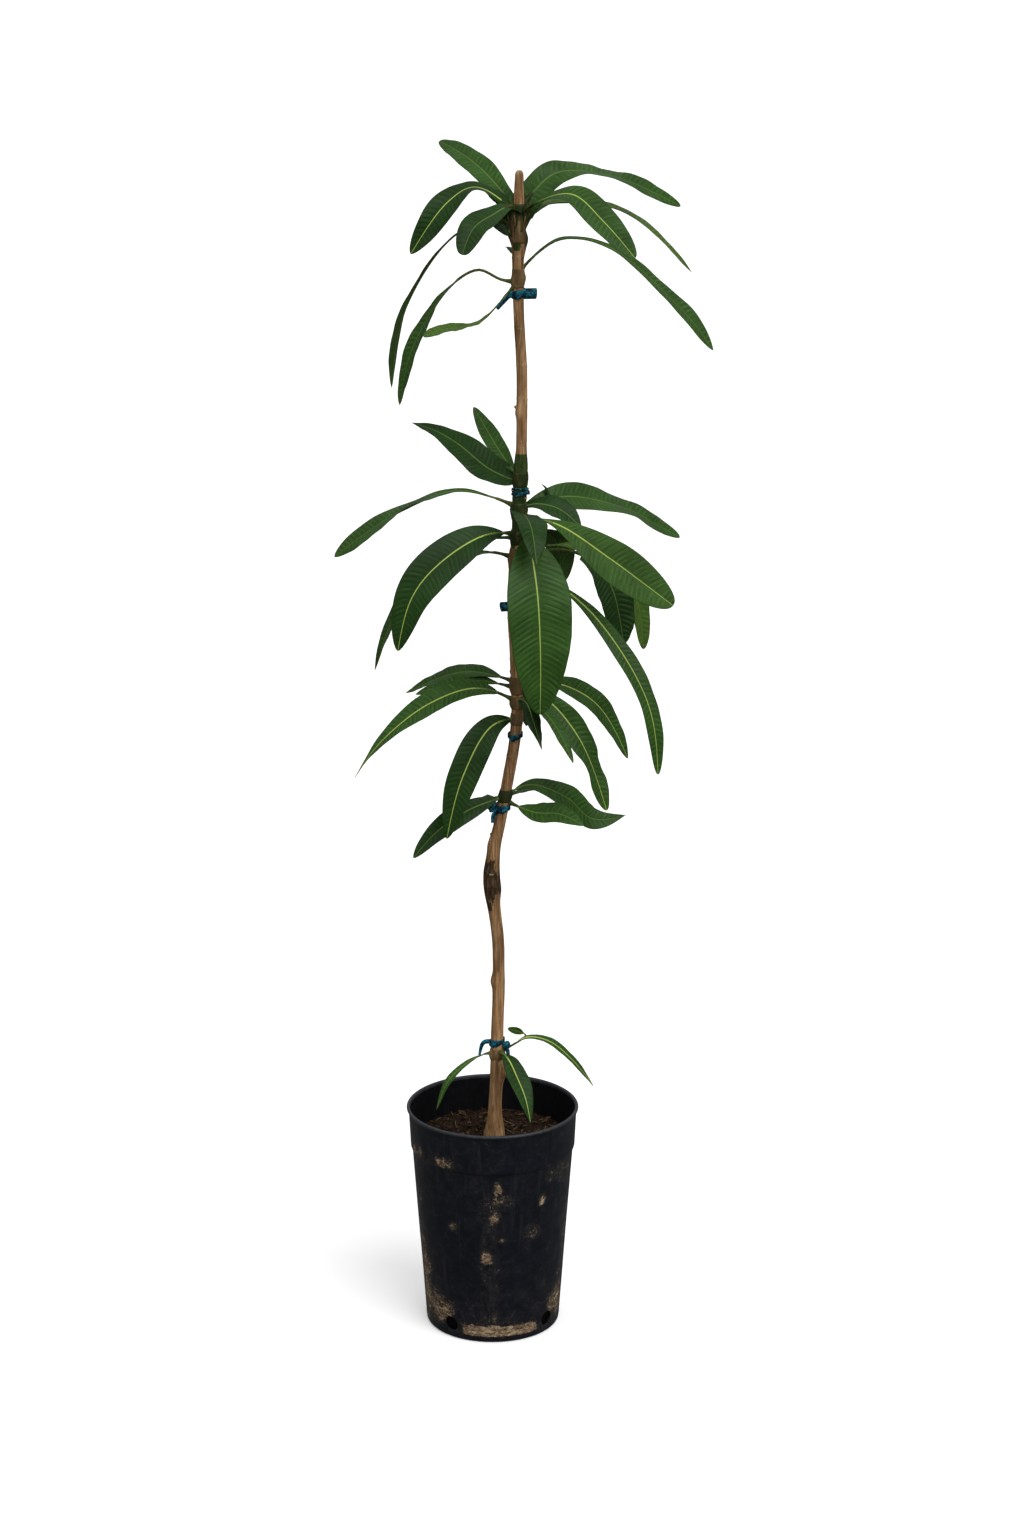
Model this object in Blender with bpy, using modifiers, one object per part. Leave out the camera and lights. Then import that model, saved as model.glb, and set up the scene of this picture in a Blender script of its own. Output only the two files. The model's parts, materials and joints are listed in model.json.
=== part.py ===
"""Potted mango sapling.

A grafted stem rises from a tapered nursery pot and carries whorls of long drooping leaves, with soft ties
round it. Metres, +Z up. The origin is the centre of the pot's underside, and -Y is the front. Sizes below
are in millimetres and degrees. A bearing is the way something points, seen from above: 0 is +X, 90 is +Y.
"""

import math
import random
from typing import NamedTuple

import bmesh
import bpy
import numpy as np

MM = 0.001
GAP = 0.3  # between solids that touch

# Pot
POT_HEIGHT = 270.0
POT_SIDES = 48
POT_WALL = 2.0
POT_FLOOR = 3.0
FOOT_RADIUS = 78.4
FOOT_ROUND = 4.0
WALL_TOP_RADIUS = 94.6
BAND_FOOT = 219.0  # height where the rim band starts
BAND_STEP = 4.0  # height over which the wall steps out to the band
BAND_RADIUS = 96.6
RIM_RADIUS = 99.0
LIP_RADIUS = 2.0
DRAIN_COUNT = 4
DRAIN_BEARING = -37.5  # of the first drain hole
DRAIN_HEIGHT = 18.5
DRAIN_RADIUS = 9.0

# Soil
SOIL_TOP = 228.0
SOIL_BUMP = 3.0
SOIL_FLAT = 24.0  # radius of the flat ground round the stem
SOIL_SEED = 4

# Stem: (height, sideways offset, offset to the back) of the points that its axis runs through
STEM_WAY = (
    (SOIL_TOP + GAP, 2, 0),
    (330, 5, 1),
    (470, 7, 3),
    (552, -1, 5),
    (644, 14, 2),
    (735, 28, -2),
    (810, 27, -1),
    (880, 24, 3),
    (1010, 32, 5),
    (1130, 34, 2),
    (1221, 30, 0),
    (1363, 31, 2),
)
STEM_SIDES = 12
STEM_STEP = 22.0  # height between its rings
STEM_FOOT_RADIUS = 7.4
STEM_TOP_RADIUS = 6.0
KNOB_SPREAD = 45.0  # how far round the stem a knob reaches, in degrees

TIE_THICKNESS = 1.7


class Swelling(NamedTuple):
    """A stretch where the stem is thicker than its taper."""

    height: float
    extra: float
    below: float
    above: float
    sharpness: float = 2.0


class Knob(NamedTuple):
    """A scar or spur that stands out on one side of the stem."""

    height: float
    bearing: float
    extra: float
    reach: float


class Leaf(NamedTuple):
    """A stalk and blade. The way is the points (out, up from the root) that the midrib runs through."""

    root: float
    bearing: float
    way: tuple
    width: float
    turn: tuple = (0, 0, 0)  # the blade's roll about its midrib, from its base to its tip
    stalk: float = 20.0
    widest: float = 0.5
    tip: float = 0.6  # under 0.5 is blunt, 1 is drawn out
    base: float = 0.0  # half the width that the blade keeps where it joins the stem


class Mass(NamedTuple):
    """Leaves on one collar round the stem, which reaches from low to high."""

    name: str
    low: float
    high: float
    leaves: tuple


class Tie(NamedTuple):
    """A loop round the stem with a knot (bearing, out, up, size) and tails (bearing, way)."""

    name: str
    height: float
    band: float
    knot: tuple = ()
    tails: tuple = ()


SWELLINGS = (
    Swelling(height=SOIL_TOP, extra=5.4, below=20, above=24),
    Swelling(height=548, extra=2.6, below=30, above=26),
    Swelling(height=1010, extra=1.9, below=38, above=36, sharpness=6),
    Swelling(height=1296, extra=1.2, below=36, above=20),
    Swelling(height=1366, extra=-1.5, below=26, above=20),
)
KNOBS = (
    Knob(height=312, bearing=-10, extra=5.0, reach=12),
    Knob(height=424, bearing=190, extra=2.4, reach=7),
    Knob(height=535, bearing=-20, extra=2.4, reach=12),
    Knob(height=590, bearing=160, extra=1.8, reach=10),
    Knob(height=1095, bearing=200, extra=1.8, reach=7),
)

MASSES = (
    Mass("foliage_top", 1284, 1327, (
        Leaf(1317, 130, ((67, 43), (137, 66)), 28, (-20, -35, -30), 4, 0.5, 0.45, 8),
        Leaf(1314, 200, ((50, 33), (80, 20), (125, -36)), 30, (-60, -50, -10, -55, -75, -75), 2,
             0.62, 0.6, 9),
        Leaf(1312, 192, ((12, 12), (28, 25), (46, 37)), 20, (-50, -50, -50), 2, 0.35, 1.0, 6),
        Leaf(1318, 232, ((20, 7), (44, 2), (80, -10), (99, -36)), 31, (-20, -25, -30), 3, 0.6, 0.4, 9),
        Leaf(1304, 165, ((67, -10), (131, -100), (147, -188)), 26, (0, 0, 10), 30, 0.7, 0.7),
        Leaf(1302, 182, ((12, 4), (24, 9), (38, 12)), 26, (-78, -78, -78), 2, 0.3, 0.6, 12),
        Leaf(1318, 25, ((18, 21), (46, 40), (110, 34), (200, -5)), 32,
             (75, 60, 16, 14, 55, 60), 2, 0.4, 0.5, 17),
        Leaf(1313, -35, ((28, 19), (72, 29), (112, 3), (153, -33)), 33, (10, 35, 40), 4, 0.6, 0.5, 7),
        Leaf(1288, 15, ((9, 16), (25, 35), (53, 39), (121, 26), (200, -44)), 24,
             (10, 10, 30), 30, 0.6, 0.7, 2),
        Leaf(1300, 68, ((55, 16), (105, 19), (150, 16), (188, 6)), 28, (0, 10, 20)),
        Leaf(1300, 105, ((60, 5), (105, -5), (150, -16), (184, -28)), 30),
    )),
    Mass("foliage_top_low", 1235, 1256, (
        Leaf(1247, 0, ((9, 14), (45, 41), (95, 35), (180, -36), (216, -82)), 26,
             (20, 20, 20, 55), 24, 0.7, 0.7, 3),
        Leaf(1241, 185, ((19, 3), (44, 14), (71, 0), (97, -33), (120, -80), (132, -135)), 23,
             (0, -30, -40), 72),
        Leaf(1242, 205, ((23, -22), (47, -42), (95, -48), (114, -54)), 18, (0, -15, -25), 20, 0.75, 0.5),
        Leaf(1248, 97, ((14, 16), (40, 24), (76, 18)), 18, (0, 0, 0), 24, 0.5, 0.7),
    )),
    Mass("foliage_middle_high", 1011, 1027, (
        Leaf(1018, 120, ((41, 21), (106, 65)), 22, (-20, -20, -20), 10),
        Leaf(1015, 150, ((40, 11), (80, 35), (108, 47), (142, 54)), 38, (-30, -40, -25), 4, 0.3, 0.85, 4),
    )),
    Mass("foliage_middle", 972, 992, (
        Leaf(986, 170, ((68, 17), (135, -9), (213, -65)), 32, (-18, -20, 2, -35, -50), 25, 0.65),
        Leaf(986, 30, ((64, 6), (145, -18), (180, -38), (215, -58)), 36,
             (40, 60, 45, 20, 50, 50), 12, 0.4, 0.5, 4),
        Leaf(985, -8, ((20, 6), (45, 1), (70, -19)), 28, (20, 40, 50), 5, 0.5, 0.6, 4),
        Leaf(978, -32, ((54, -6), (120, -36), (162, -58), (201, -79)), 46, (20, 60, 62), 20, 0.62, 0.45),
        Leaf(978, -78, ((35, 6), (70, -2), (96, -36)), 42, (-15, -20, -10), 8, 0.4, 0.8, 5),
    )),
    Mass("foliage_middle_mid", 944, 962, (
        Leaf(956, 205, ((40, 2), (97, -26), (129, -60), (147, -120)), 46, (-40, -60, -70), 15, 0.45),
        Leaf(954, -74, ((40, 8), (78, -38), (94, -105), (94, -184)), 74, (0, 0, 0), 46, 0.42, 0.55, 6),
        Leaf(950, 53, ((44, 2), (74, -14), (84, -42), (75, -72)), 42, (0, -5, -10), 14, 0.45),
        Leaf(952, 140, ((70, -14), (125, -36), (168, -88)), 34, (0, -20, -20), 25),
    )),
    Mass("foliage_middle_low", 916, 940, (
        Leaf(928, 160, ((41, 3), (130, -53), (172, -146)), 30, (-20, -35, -45), 25, 0.5, 0.7),
        Leaf(922, -25, ((53, -19), (105, -57), (164, -143), (178, -226)), 24,
             (35, 50, 25, 50), 30, 0.6, 0.5),
        Leaf(932, -5, ((68, 4), (103, -24), (123, -101)), 46, (35, 50, 60), 76, 0.45, 0.5, 8),
        Leaf(936, 30, ((80, -4), (150, -52), (172, -136)), 34, (20, 70, 80), 40, 0.6, 0.5),
        Leaf(926, 82, ((60, 0), (120, -28), (175, -90), (200, -150)), 40, (0, 0, 0), 30),
    )),
    Mass("foliage_lower_high", 771, 792, (
        Leaf(785, 150, ((68, 3), (148, -33)), 26, (-15, -30, -35), 20, 0.4, 0.7),
        Leaf(778, 165, ((55, 5), (120, -16)), 24, (-20, -25, -30), 20, 0.5, 0.7),
        Leaf(785, 30, ((57, -10), (108, -42), (150, -112)), 32, (40, 60, 65), 22),
        Leaf(778, -20, ((33, -8), (74, -50), (109, -134)), 32, (40, 60, 10, 60), 16, 0.45, 0.5),
        Leaf(782, 86, ((60, 0), (120, -28), (168, -96)), 32, (0, 10, 20), 30),
    )),
    Mass("foliage_lower", 754, 769, (
        Leaf(762, 190, ((46, 18), (100, 3), (155, -38), (187, -80)), 30, (-20, -50, -10), 25, 0.3, 1.0),
        Leaf(766, -50, ((36, -2), (67, -18), (98, -55)), 18, (0, 0, 0), 20, 0.5, 0.7),
        Leaf(764, -62, ((22, 2), (42, -20), (60, -44)), 20, (0, 0, 0), 8, 0.35, 1.0),
    )),
    Mass("foliage_lower_low", 735, 749, (
        Leaf(742, 215, ((36, -4), (74, -55), (97, -126)), 37, (-50, -60, -60), 6, 0.45),
        Leaf(742, 108, ((50, -14), (105, -40), (155, -100)), 26),
    )),
    Mass("foliage_lowest", 642, 657, (
        Leaf(648, 200, ((45, -12), (82, -33), (111, -62)), 26, (-60, -60, -50), 8, 0.45),
        Leaf(648, 20, ((30, 11), (76, -9), (108, -38), (150, -38)), 32, (40, 60, 60), 10, 0.55, 1.0),
        Leaf(647, 55, ((55, -4), (105, -24), (140, -44)), 20, (0, 10, 10), 15, 0.45, 0.8),
        Leaf(644, -25, ((39, -10), (70, -8), (100, -18)), 26, (40, 50, 40), 18, 0.45, 0.7),
        Leaf(645, 130, ((40, -8), (85, -38), (115, -65)), 24, (0, -10, 0), 15, 0.5, 0.7),
    )),
    Mass("shoots_base", 326, 341, (
        Leaf(335, 200, ((20, -1), (41, -11), (60, -28), (75, -62)), 9, (-10, -30, -40), 15, 0.5, 0.8),
        Leaf(334, 20, ((18, 7), (38, 15), (66, 6), (94, -20), (122, -58)), 13, (20, 40, 40), 25, 0.5, 0.7),
        Leaf(332, 23, ((18, 8), (33, 15), (37, 19), (30, 24), (14, 31)), 9, (80, 80, 80), 45, 0.5, 0.5),
        Leaf(336, -58, ((22, 0), (47, -20), (63, -38), (74, -64)), 27, (0, 0, 0), 14, 0.42, 0.85),
    )),
)
COLLAR_SWELL = 3.0  # how far a collar stands out round the stem
COLLAR_EDGE = 0.9
LEAF_RINGS = 12
LEAF_FOLD = 8.0  # how far each half of a blade is raised, in degrees
LEAF_THICKNESS = 0.0115  # of the leaf's length
STALK_RADIUS = 1.6
TIP_HALF_WIDTH = 1.2

TIES = (
    Tie("tie_top", 1228, 11, (10, 13, 0, (7.0, 6.0, 6.6)), ((205, ((12, -1), (18, -7), (26, -15))),)),
    Tie("tie_middle_high", 1005, 8, (-40, 11, 0, (3.0, 3.0, 3.4))),
    Tie("tie_middle_low", 873, 7, (195, 10, 0, (4.0, 4.0, 6.0))),
    Tie("tie_lower", 722, 7, (-110, 9, -2, (3.0, 3.0, 4.4))),
    Tie("tie_lowest", 635, 10, (195, 12, 1, (7.0, 5.5, 7.6)), ((215, ((12, -6), (15, -16))),)),
    Tie("tie_base", 348, 8, (-20, 11, -2, (5.4, 4.4, 5.0)),
        ((-22, ((13, -8), (14, -24))), (168, ((16, -2), (21, -18))))),
)

COLOURS = {
    "pot": ((0.018, 0.020, 0.028), 0.55),
    "soil": ((0.055, 0.032, 0.020), 0.95),
    "bark": ((0.26, 0.16, 0.09), 0.75),
    "tie": ((0.006, 0.075, 0.11), 0.45),
    "leaf": ((0.022, 0.085, 0.020), 0.38),
}


def clear_scene():
    for obj in list(bpy.data.objects):
        bpy.data.objects.remove(obj, do_unlink=True)


def new_collection(name):
    collection = bpy.data.collections.new(name)
    bpy.context.scene.collection.children.link(collection)
    return collection


def make_material(name, kind):
    colour, roughness = COLOURS[kind]
    material = bpy.data.materials.new(name)
    material.use_nodes = True
    shader = material.node_tree.nodes["Principled BSDF"]
    shader.inputs["Base Color"].default_value = (*colour, 1)
    shader.inputs["Roughness"].default_value = roughness
    shader.inputs["Metallic"].default_value = 0.0
    return material


def add_object(name, mesh, collection, kind=None):
    """An object of the mesh, in its own material of the kind."""
    obj = bpy.data.objects.new(name, mesh)
    collection.objects.link(obj)
    if kind:
        mesh.materials.append(make_material(name, kind))
    return obj


def smooth_path(points, count):
    """Even steps along a smooth curve through the points, and its length."""
    knots = np.array(points, float)
    spans = np.sqrt(np.linalg.norm(np.diff(knots, axis=0), axis=1))[:, None]
    slopes = np.diff(knots, axis=0) / spans
    inner = (slopes[:-1] * spans[1:] + slopes[1:] * spans[:-1]) / (spans[1:] + spans[:-1])
    first = 1.5 * slopes[0] - 0.5 * inner[0]
    last = 1.5 * slopes[-1] - 0.5 * inner[-1]
    rates = np.vstack([first, inner, last])
    t = np.linspace(0, 1, 40)[:, None]
    pieces = []
    for i, span in enumerate(spans[:, 0]):
        pieces.append(
            (2 * t**3 - 3 * t**2 + 1) * knots[i]
            + (t**3 - 2 * t**2 + t) * span * rates[i]
            + (3 * t**2 - 2 * t**3) * knots[i + 1]
            + (t**3 - t**2) * span * rates[i + 1]
        )
    fine = np.vstack(pieces)
    along = np.concatenate([[0], np.cumsum(np.linalg.norm(np.diff(fine, axis=0), axis=1))])
    even = np.linspace(0, along[-1], count)
    return np.stack([np.interp(even, along, axis) for axis in fine.T], 1), along[-1]


def loft(name, rings, collection, kind=None, halved=False):
    """A closed solid through rings of points in millimetres, with a flat cap at each end.

    Halved, each side face is two triangles, so that two lofts of the same plan bend alike.
    """
    mesh = bmesh.new()
    rows = [[mesh.verts.new([float(value) * MM for value in point]) for point in ring] for ring in rings]
    sides = len(rows[0])
    for low, high in zip(rows, rows[1:]):
        for i in range(sides):
            j = (i + 1) % sides
            if halved:
                mesh.faces.new((low[i], low[j], high[j]))
                mesh.faces.new((low[i], high[j], high[i]))
            else:
                mesh.faces.new((low[i], low[j], high[j], high[i]))
    mesh.faces.new(rows[0][::-1])
    mesh.faces.new(rows[-1])
    bmesh.ops.recalc_face_normals(mesh, faces=mesh.faces[:])
    data = bpy.data.meshes.new(name)
    mesh.to_mesh(data)
    mesh.free()
    return add_object(name, data, collection, kind)


def circle(centre, radius, sides, height):
    turn = np.arange(sides) * 2 * math.pi / sides
    radius = np.broadcast_to(radius, sides)
    return np.stack(
        [centre[0] + radius * np.cos(turn), centre[1] + radius * np.sin(turn), np.full(sides, height)], 1
    )


# Pot and soil


def outer_radius(height):
    """The pot's outer radius at a height, below the lip."""
    if height < BAND_FOOT:
        return FOOT_RADIUS + (WALL_TOP_RADIUS - FOOT_RADIUS) * height / BAND_FOOT
    share = (height - BAND_FOOT - BAND_STEP) / (POT_HEIGHT - BAND_FOOT - BAND_STEP)
    return BAND_RADIUS + (RIM_RADIUS - BAND_RADIUS) * max(share, 0)


def arc(centre, radius, start, end, count):
    turns = np.radians(np.linspace(start, end, count))
    return [(centre[0] + radius * math.cos(t), centre[1] + radius * math.sin(t)) for t in turns]


def pot_profile():
    """(radius, height) from the floor's middle, up the inside, over the lip and down the outside."""
    band_top = BAND_FOOT + BAND_STEP
    lip_height = POT_HEIGHT - LIP_RADIUS
    inner_foot = outer_radius(POT_FLOOR) - POT_WALL
    profile = [
        (0, POT_FLOOR),
        (inner_foot, POT_FLOOR),
        (WALL_TOP_RADIUS - POT_WALL, BAND_FOOT),
        (BAND_RADIUS - POT_WALL, band_top),
        (RIM_RADIUS - POT_WALL, lip_height - LIP_RADIUS),
    ]
    profile += arc((RIM_RADIUS, lip_height), LIP_RADIUS, 180, -50, 6)
    profile += [
        (RIM_RADIUS, lip_height - 2 * LIP_RADIUS),
        (BAND_RADIUS, band_top),
        (WALL_TOP_RADIUS, BAND_FOOT),
    ]
    foot = (outer_radius(FOOT_ROUND) - FOOT_ROUND, FOOT_ROUND)
    profile += arc(foot, FOOT_ROUND, 0, -90, 4)
    profile.append((0, 0))
    return profile


def make_drain_cutter(bearing, collection):
    """A round bar that runs out through the pot's wall."""
    data = bpy.data.meshes.new("drain_cutter")
    mesh = bmesh.new()
    bmesh.ops.create_cone(
        mesh, cap_ends=True, segments=12, radius1=DRAIN_RADIUS * MM, radius2=DRAIN_RADIUS * MM, depth=20 * MM
    )
    mesh.to_mesh(data)
    mesh.free()
    cutter = add_object("drain_cutter", data, collection)
    turn = math.radians(bearing)
    cutter.rotation_euler = (0, math.pi / 2, turn)
    reach = FOOT_RADIUS * MM
    cutter.location = (reach * math.cos(turn), reach * math.sin(turn), DRAIN_HEIGHT * MM)
    hide_helper(cutter)
    return cutter


def hide_helper(obj):
    obj.hide_render = True
    obj.display_type = "WIRE"


def make_pot(collection, cutters):
    profile = [(r * MM, 0, z * MM) for r, z in pot_profile()]
    data = bpy.data.meshes.new("pot")
    data.from_pydata(profile, [(i, i + 1) for i in range(len(profile) - 1)], [])
    pot = add_object("pot", data, collection, "pot")
    screw = pot.modifiers.new("Turn", "SCREW")
    screw.steps = POT_SIDES
    screw.render_steps = POT_SIDES
    screw.use_merge_vertices = True
    screw.merge_threshold = 1e-5
    screw.use_smooth_shade = True
    for i in range(DRAIN_COUNT):
        drain = pot.modifiers.new(f"Drain {i}", "BOOLEAN")
        drain.operation = "DIFFERENCE"
        drain.object = make_drain_cutter(DRAIN_BEARING + 360 * i / DRAIN_COUNT, cutters)
    return pot


def make_soil(collection):
    """A plug that fills the pot 0.3 mm clear of it, with a lumpy top round a flat patch for the stem."""
    rng = random.Random(SOIL_SEED)
    band_top = BAND_FOOT + BAND_STEP
    slack = POT_WALL + GAP / math.cos(math.pi / POT_SIDES) + 0.05
    edge_height = SOIL_TOP - 1
    sides = [
        (outer_radius(POT_FLOOR) - slack, POT_FLOOR + GAP),
        (WALL_TOP_RADIUS - slack, BAND_FOOT + 0.1),
        (BAND_RADIUS - slack, band_top + 0.2),
        (outer_radius(edge_height) - slack, edge_height),
    ]
    rings = [circle((0, 0), radius, POT_SIDES, height) for radius, height in sides]
    top_radii = np.linspace(outer_radius(edge_height) - slack - 9, SOIL_FLAT, 6)
    for radius in top_radii:
        ring = circle((0, 0), radius, POT_SIDES, SOIL_TOP)
        bumps = np.array([rng.uniform(-1, 1) for _ in range(POT_SIDES)])
        if radius > SOIL_FLAT:
            ring[:, 2] += SOIL_BUMP * (bumps + np.roll(bumps, 1)) / 2
        rings.append(ring)
    return loft("soil", rings, collection, "soil")


# Stem


def stem_axis():
    points = [(x, y, z) for z, x, y in STEM_WAY]
    return smooth_path(points, 240)[0]


AXIS = stem_axis()


def stem_centre(height):
    return np.array([np.interp(height, AXIS[:, 2], AXIS[:, 0]), np.interp(height, AXIS[:, 2], AXIS[:, 1])])


def stem_radius(height):
    share = (height - SOIL_TOP) / (STEM_WAY[-1][0] - SOIL_TOP)
    radius = STEM_FOOT_RADIUS + (STEM_TOP_RADIUS - STEM_FOOT_RADIUS) * min(share * 1.25, 1)
    for swell in SWELLINGS:
        reach = swell.below if height < swell.height else swell.above
        radius += swell.extra * math.exp(-(abs((height - swell.height) / reach) ** swell.sharpness))
    return radius


def stem_outline(height, clearance=0.0):
    """The ring of points round the stem at a height, a clearance outside it."""
    turn = np.degrees(np.arange(STEM_SIDES) * 2 * math.pi / STEM_SIDES)
    radius = np.full(STEM_SIDES, stem_radius(height) + clearance)
    for knob in KNOBS:
        away = (turn - knob.bearing + 180) % 360 - 180
        rise = math.exp(-(((height - knob.height) / knob.reach) ** 2))
        radius += knob.extra * rise * np.exp(-((away / KNOB_SPREAD) ** 2))
    return circle(stem_centre(height), radius, STEM_SIDES, height)


def stem_heights():
    """Evenly spaced heights from the foot to the tip, with closer ones at the root flare and the knobs."""
    low = STEM_WAY[0][0]
    high = STEM_WAY[-1][0]
    heights = set(np.linspace(low, high, round((high - low) / STEM_STEP) + 1).round(2))
    heights |= {low + 8, low + 16}
    for knob in KNOBS:
        heights |= {knob.height - knob.reach, knob.height, knob.height + knob.reach}
    heights |= {1040.0, 1050.0}
    ordered = sorted(heights)
    return [ordered[0]] + [b for a, b in zip(ordered, ordered[1:]) if b - a > 3 or b == high]


def make_trunk(collection):
    rings = [stem_outline(height) for height in stem_heights()]
    trunk = loft("trunk", rings, collection, "bark", halved=True)
    trunk.data.shade_smooth()
    trunk.data.set_sharp_from_angle(angle=math.radians(50))
    return trunk


def make_clearance(collection):
    """The trunk grown by the gap: what is cut out of everything that goes round it."""
    heights = stem_heights()
    rings = [stem_outline(height, GAP) for height in heights]
    rings[0][:, 2] -= GAP
    rings[-1][:, 2] += GAP
    clearance = loft("trunk_clearance", rings, collection, halved=True)
    hide_helper(clearance)
    return clearance


# Leaves


def blade_shape(share, widest, tip):
    """The blade's half width, from 0 to 1, at a share of its length from its base."""
    share = np.clip(share, 0, 1)
    arch = np.sin(math.pi * share ** (math.log(0.5) / math.log(widest)))
    return np.where(share < widest, arch**0.85, np.maximum(arch, 0) ** tip)


def leaf_rings(leaf):
    """Six points round the leaf at each step from the stem's axis to the tip."""
    path, length = smooth_path([(0, 0), *leaf.way], LEAF_RINGS)
    bearing = math.radians(leaf.bearing)
    outwards = np.array([math.cos(bearing), math.sin(bearing), 0])
    x, y = stem_centre(leaf.root)
    middle = np.array([x, y, leaf.root]) + path[:, :1] * outwards + path[:, 1:] * np.array([0, 0, 1])
    forward = np.gradient(middle, axis=0)
    forward /= np.linalg.norm(forward, axis=1)[:, None]
    level = np.array([-outwards[1], outwards[0], 0])
    upwards = np.cross(forward, level)

    start = leaf.stalk / length
    share = (np.linspace(0, 1, LEAF_RINGS) - start) / (1 - start)
    roll = np.radians(np.interp(share, np.linspace(0, 1, len(leaf.turn)), leaf.turn))[:, None]
    side = np.cos(roll) * level + np.sin(roll) * upwards
    normal = np.cos(roll) * upwards - np.sin(roll) * level

    blade = blade_shape(share, leaf.widest, leaf.tip) * leaf.width / 2
    blade = np.hypot(blade, leaf.base * np.clip(1 - share / 0.4, 0, 1))
    opened = np.clip(share * 6, 0, 1)[:, None]
    half = np.maximum(blade, np.where(share < 0.5, STALK_RADIUS, TIP_HALF_WIDTH))[:, None]
    flat = max(LEAF_THICKNESS * length, 1.2) / 2
    edge = 0.5 * STALK_RADIUS * (1 - opened) + flat * opened
    centre = STALK_RADIUS * (1 - opened) + flat * opened
    lift = half * math.tan(math.radians(LEAF_FOLD)) * opened
    corners = (
        (-half, lift + edge),
        (0 * half, centre),
        (half, lift + edge),
        (half, lift - edge),
        (0 * half, -centre),
        (-half, lift - edge),
    )
    return np.stack([middle + across * side + up * normal for across, up in corners], 1)


def collar_rings(mass):
    """A cushion of leaf bases round the stem, which the trunk's clearance is cut from."""
    shape = [(0, COLLAR_EDGE), (0.3, COLLAR_SWELL), (0.7, COLLAR_SWELL), (1, COLLAR_EDGE)]
    rings = []
    for share, extra in shape:
        height = mass.low + (mass.high - mass.low) * share
        rings.append(circle(stem_centre(height), stem_radius(height) + extra, STEM_SIDES, height))
    return rings


def join(base, pieces, clearance):
    """Unites the pieces with the base, cuts the trunk's clearance out and removes what it used."""
    union = base.modifiers.new("Join", "BOOLEAN")
    union.operation = "UNION"
    union.operand_type = "COLLECTION"
    union.collection = pieces
    cut = base.modifiers.new("Clear the trunk", "BOOLEAN")
    cut.operation = "DIFFERENCE"
    cut.object = clearance
    bpy.context.view_layer.update()
    graph = bpy.context.evaluated_depsgraph_get()
    joined = bpy.data.meshes.new_from_object(base.evaluated_get(graph))
    base.modifiers.clear()
    base.data = joined
    for piece in list(pieces.objects):
        bpy.data.objects.remove(piece, do_unlink=True)
    bpy.data.collections.remove(pieces)


def make_mass(mass, collection, clearance):
    foliage = loft(mass.name, collar_rings(mass), collection, "leaf")
    leaves = new_collection(mass.name + "_leaves")
    for leaf in mass.leaves:
        loft("leaf", leaf_rings(leaf), leaves)
    join(foliage, leaves, clearance)
    return foliage


# Ties


def knot_rings(centre, size):
    """An egg-shaped lump of half sizes (out, across, up)."""
    rings = []
    for share in (-0.94, -0.6, 0, 0.6, 0.94):
        ring = circle((0, 0), math.sqrt(1 - share**2), 8, share * size[2])
        ring[:, 0] *= size[0]
        ring[:, 1] *= size[1]
        rings.append(ring + centre)
    return rings


def tail_rings(height, bearing, way):
    """A flat strip that hangs from the loop."""
    turn = math.radians(bearing)
    outwards = np.array([math.cos(turn), math.sin(turn), 0])
    across = np.array([-outwards[1], outwards[0], 0])
    x, y = stem_centre(height)
    path = smooth_path([(stem_radius(height), 0), *way], 5)[0]
    rings = []
    for out, up in path:
        middle = np.array([x, y, height + up]) + out * outwards
        corners = ((-2.2, -0.9), (2.2, -0.9), (2.2, 0.9), (-2.2, 0.9))
        rings.append([middle + a * across + b * outwards for a, b in corners])
    return rings


def make_tie(tie, collection, clearance):
    rings = []
    for share, extra in ((-0.5, 0.6), (-0.35, TIE_THICKNESS), (0.35, TIE_THICKNESS), (0.5, 0.6)):
        height = tie.height + share * tie.band
        rings.append(circle(stem_centre(height), stem_radius(height) + extra, STEM_SIDES, height))
    loop = loft(tie.name, rings, collection, "tie")
    extras = new_collection(tie.name + "_extras")
    if tie.knot:
        bearing, out, up, size = tie.knot
        turn = math.radians(bearing)
        x, y = stem_centre(tie.height)
        centre = np.array([x + out * math.cos(turn), y + out * math.sin(turn), tie.height + up])
        loft("knot", knot_rings(centre, size), extras)
    for bearing, way in tie.tails:
        loft("tail", tail_rings(tie.height, bearing, way), extras)
    join(loop, extras, clearance)
    return loop


def main():
    clear_scene()
    part = new_collection("potted_mango_sapling")
    cutters = new_collection("cutters")
    cutters.hide_render = True
    make_pot(part, cutters)
    make_soil(part)
    make_trunk(part)
    clearance = make_clearance(cutters)
    for mass in MASSES:
        make_mass(mass, part, clearance)
    for tie in TIES:
        make_tie(tie, part, clearance)


main()
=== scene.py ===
"""Looks of the potted mango sapling: leaves, stalks, bark, ties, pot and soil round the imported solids.

Lengths below are in millimetres and angles in degrees; meshes are made in metres. A bearing is the way
something points, seen from above: 0 is +X, 90 is +Y, and -90 is the front.
"""

import json
import math
import random
from typing import NamedTuple

import bmesh
import bpy
import numpy as np
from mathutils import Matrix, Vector, noise

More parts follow.
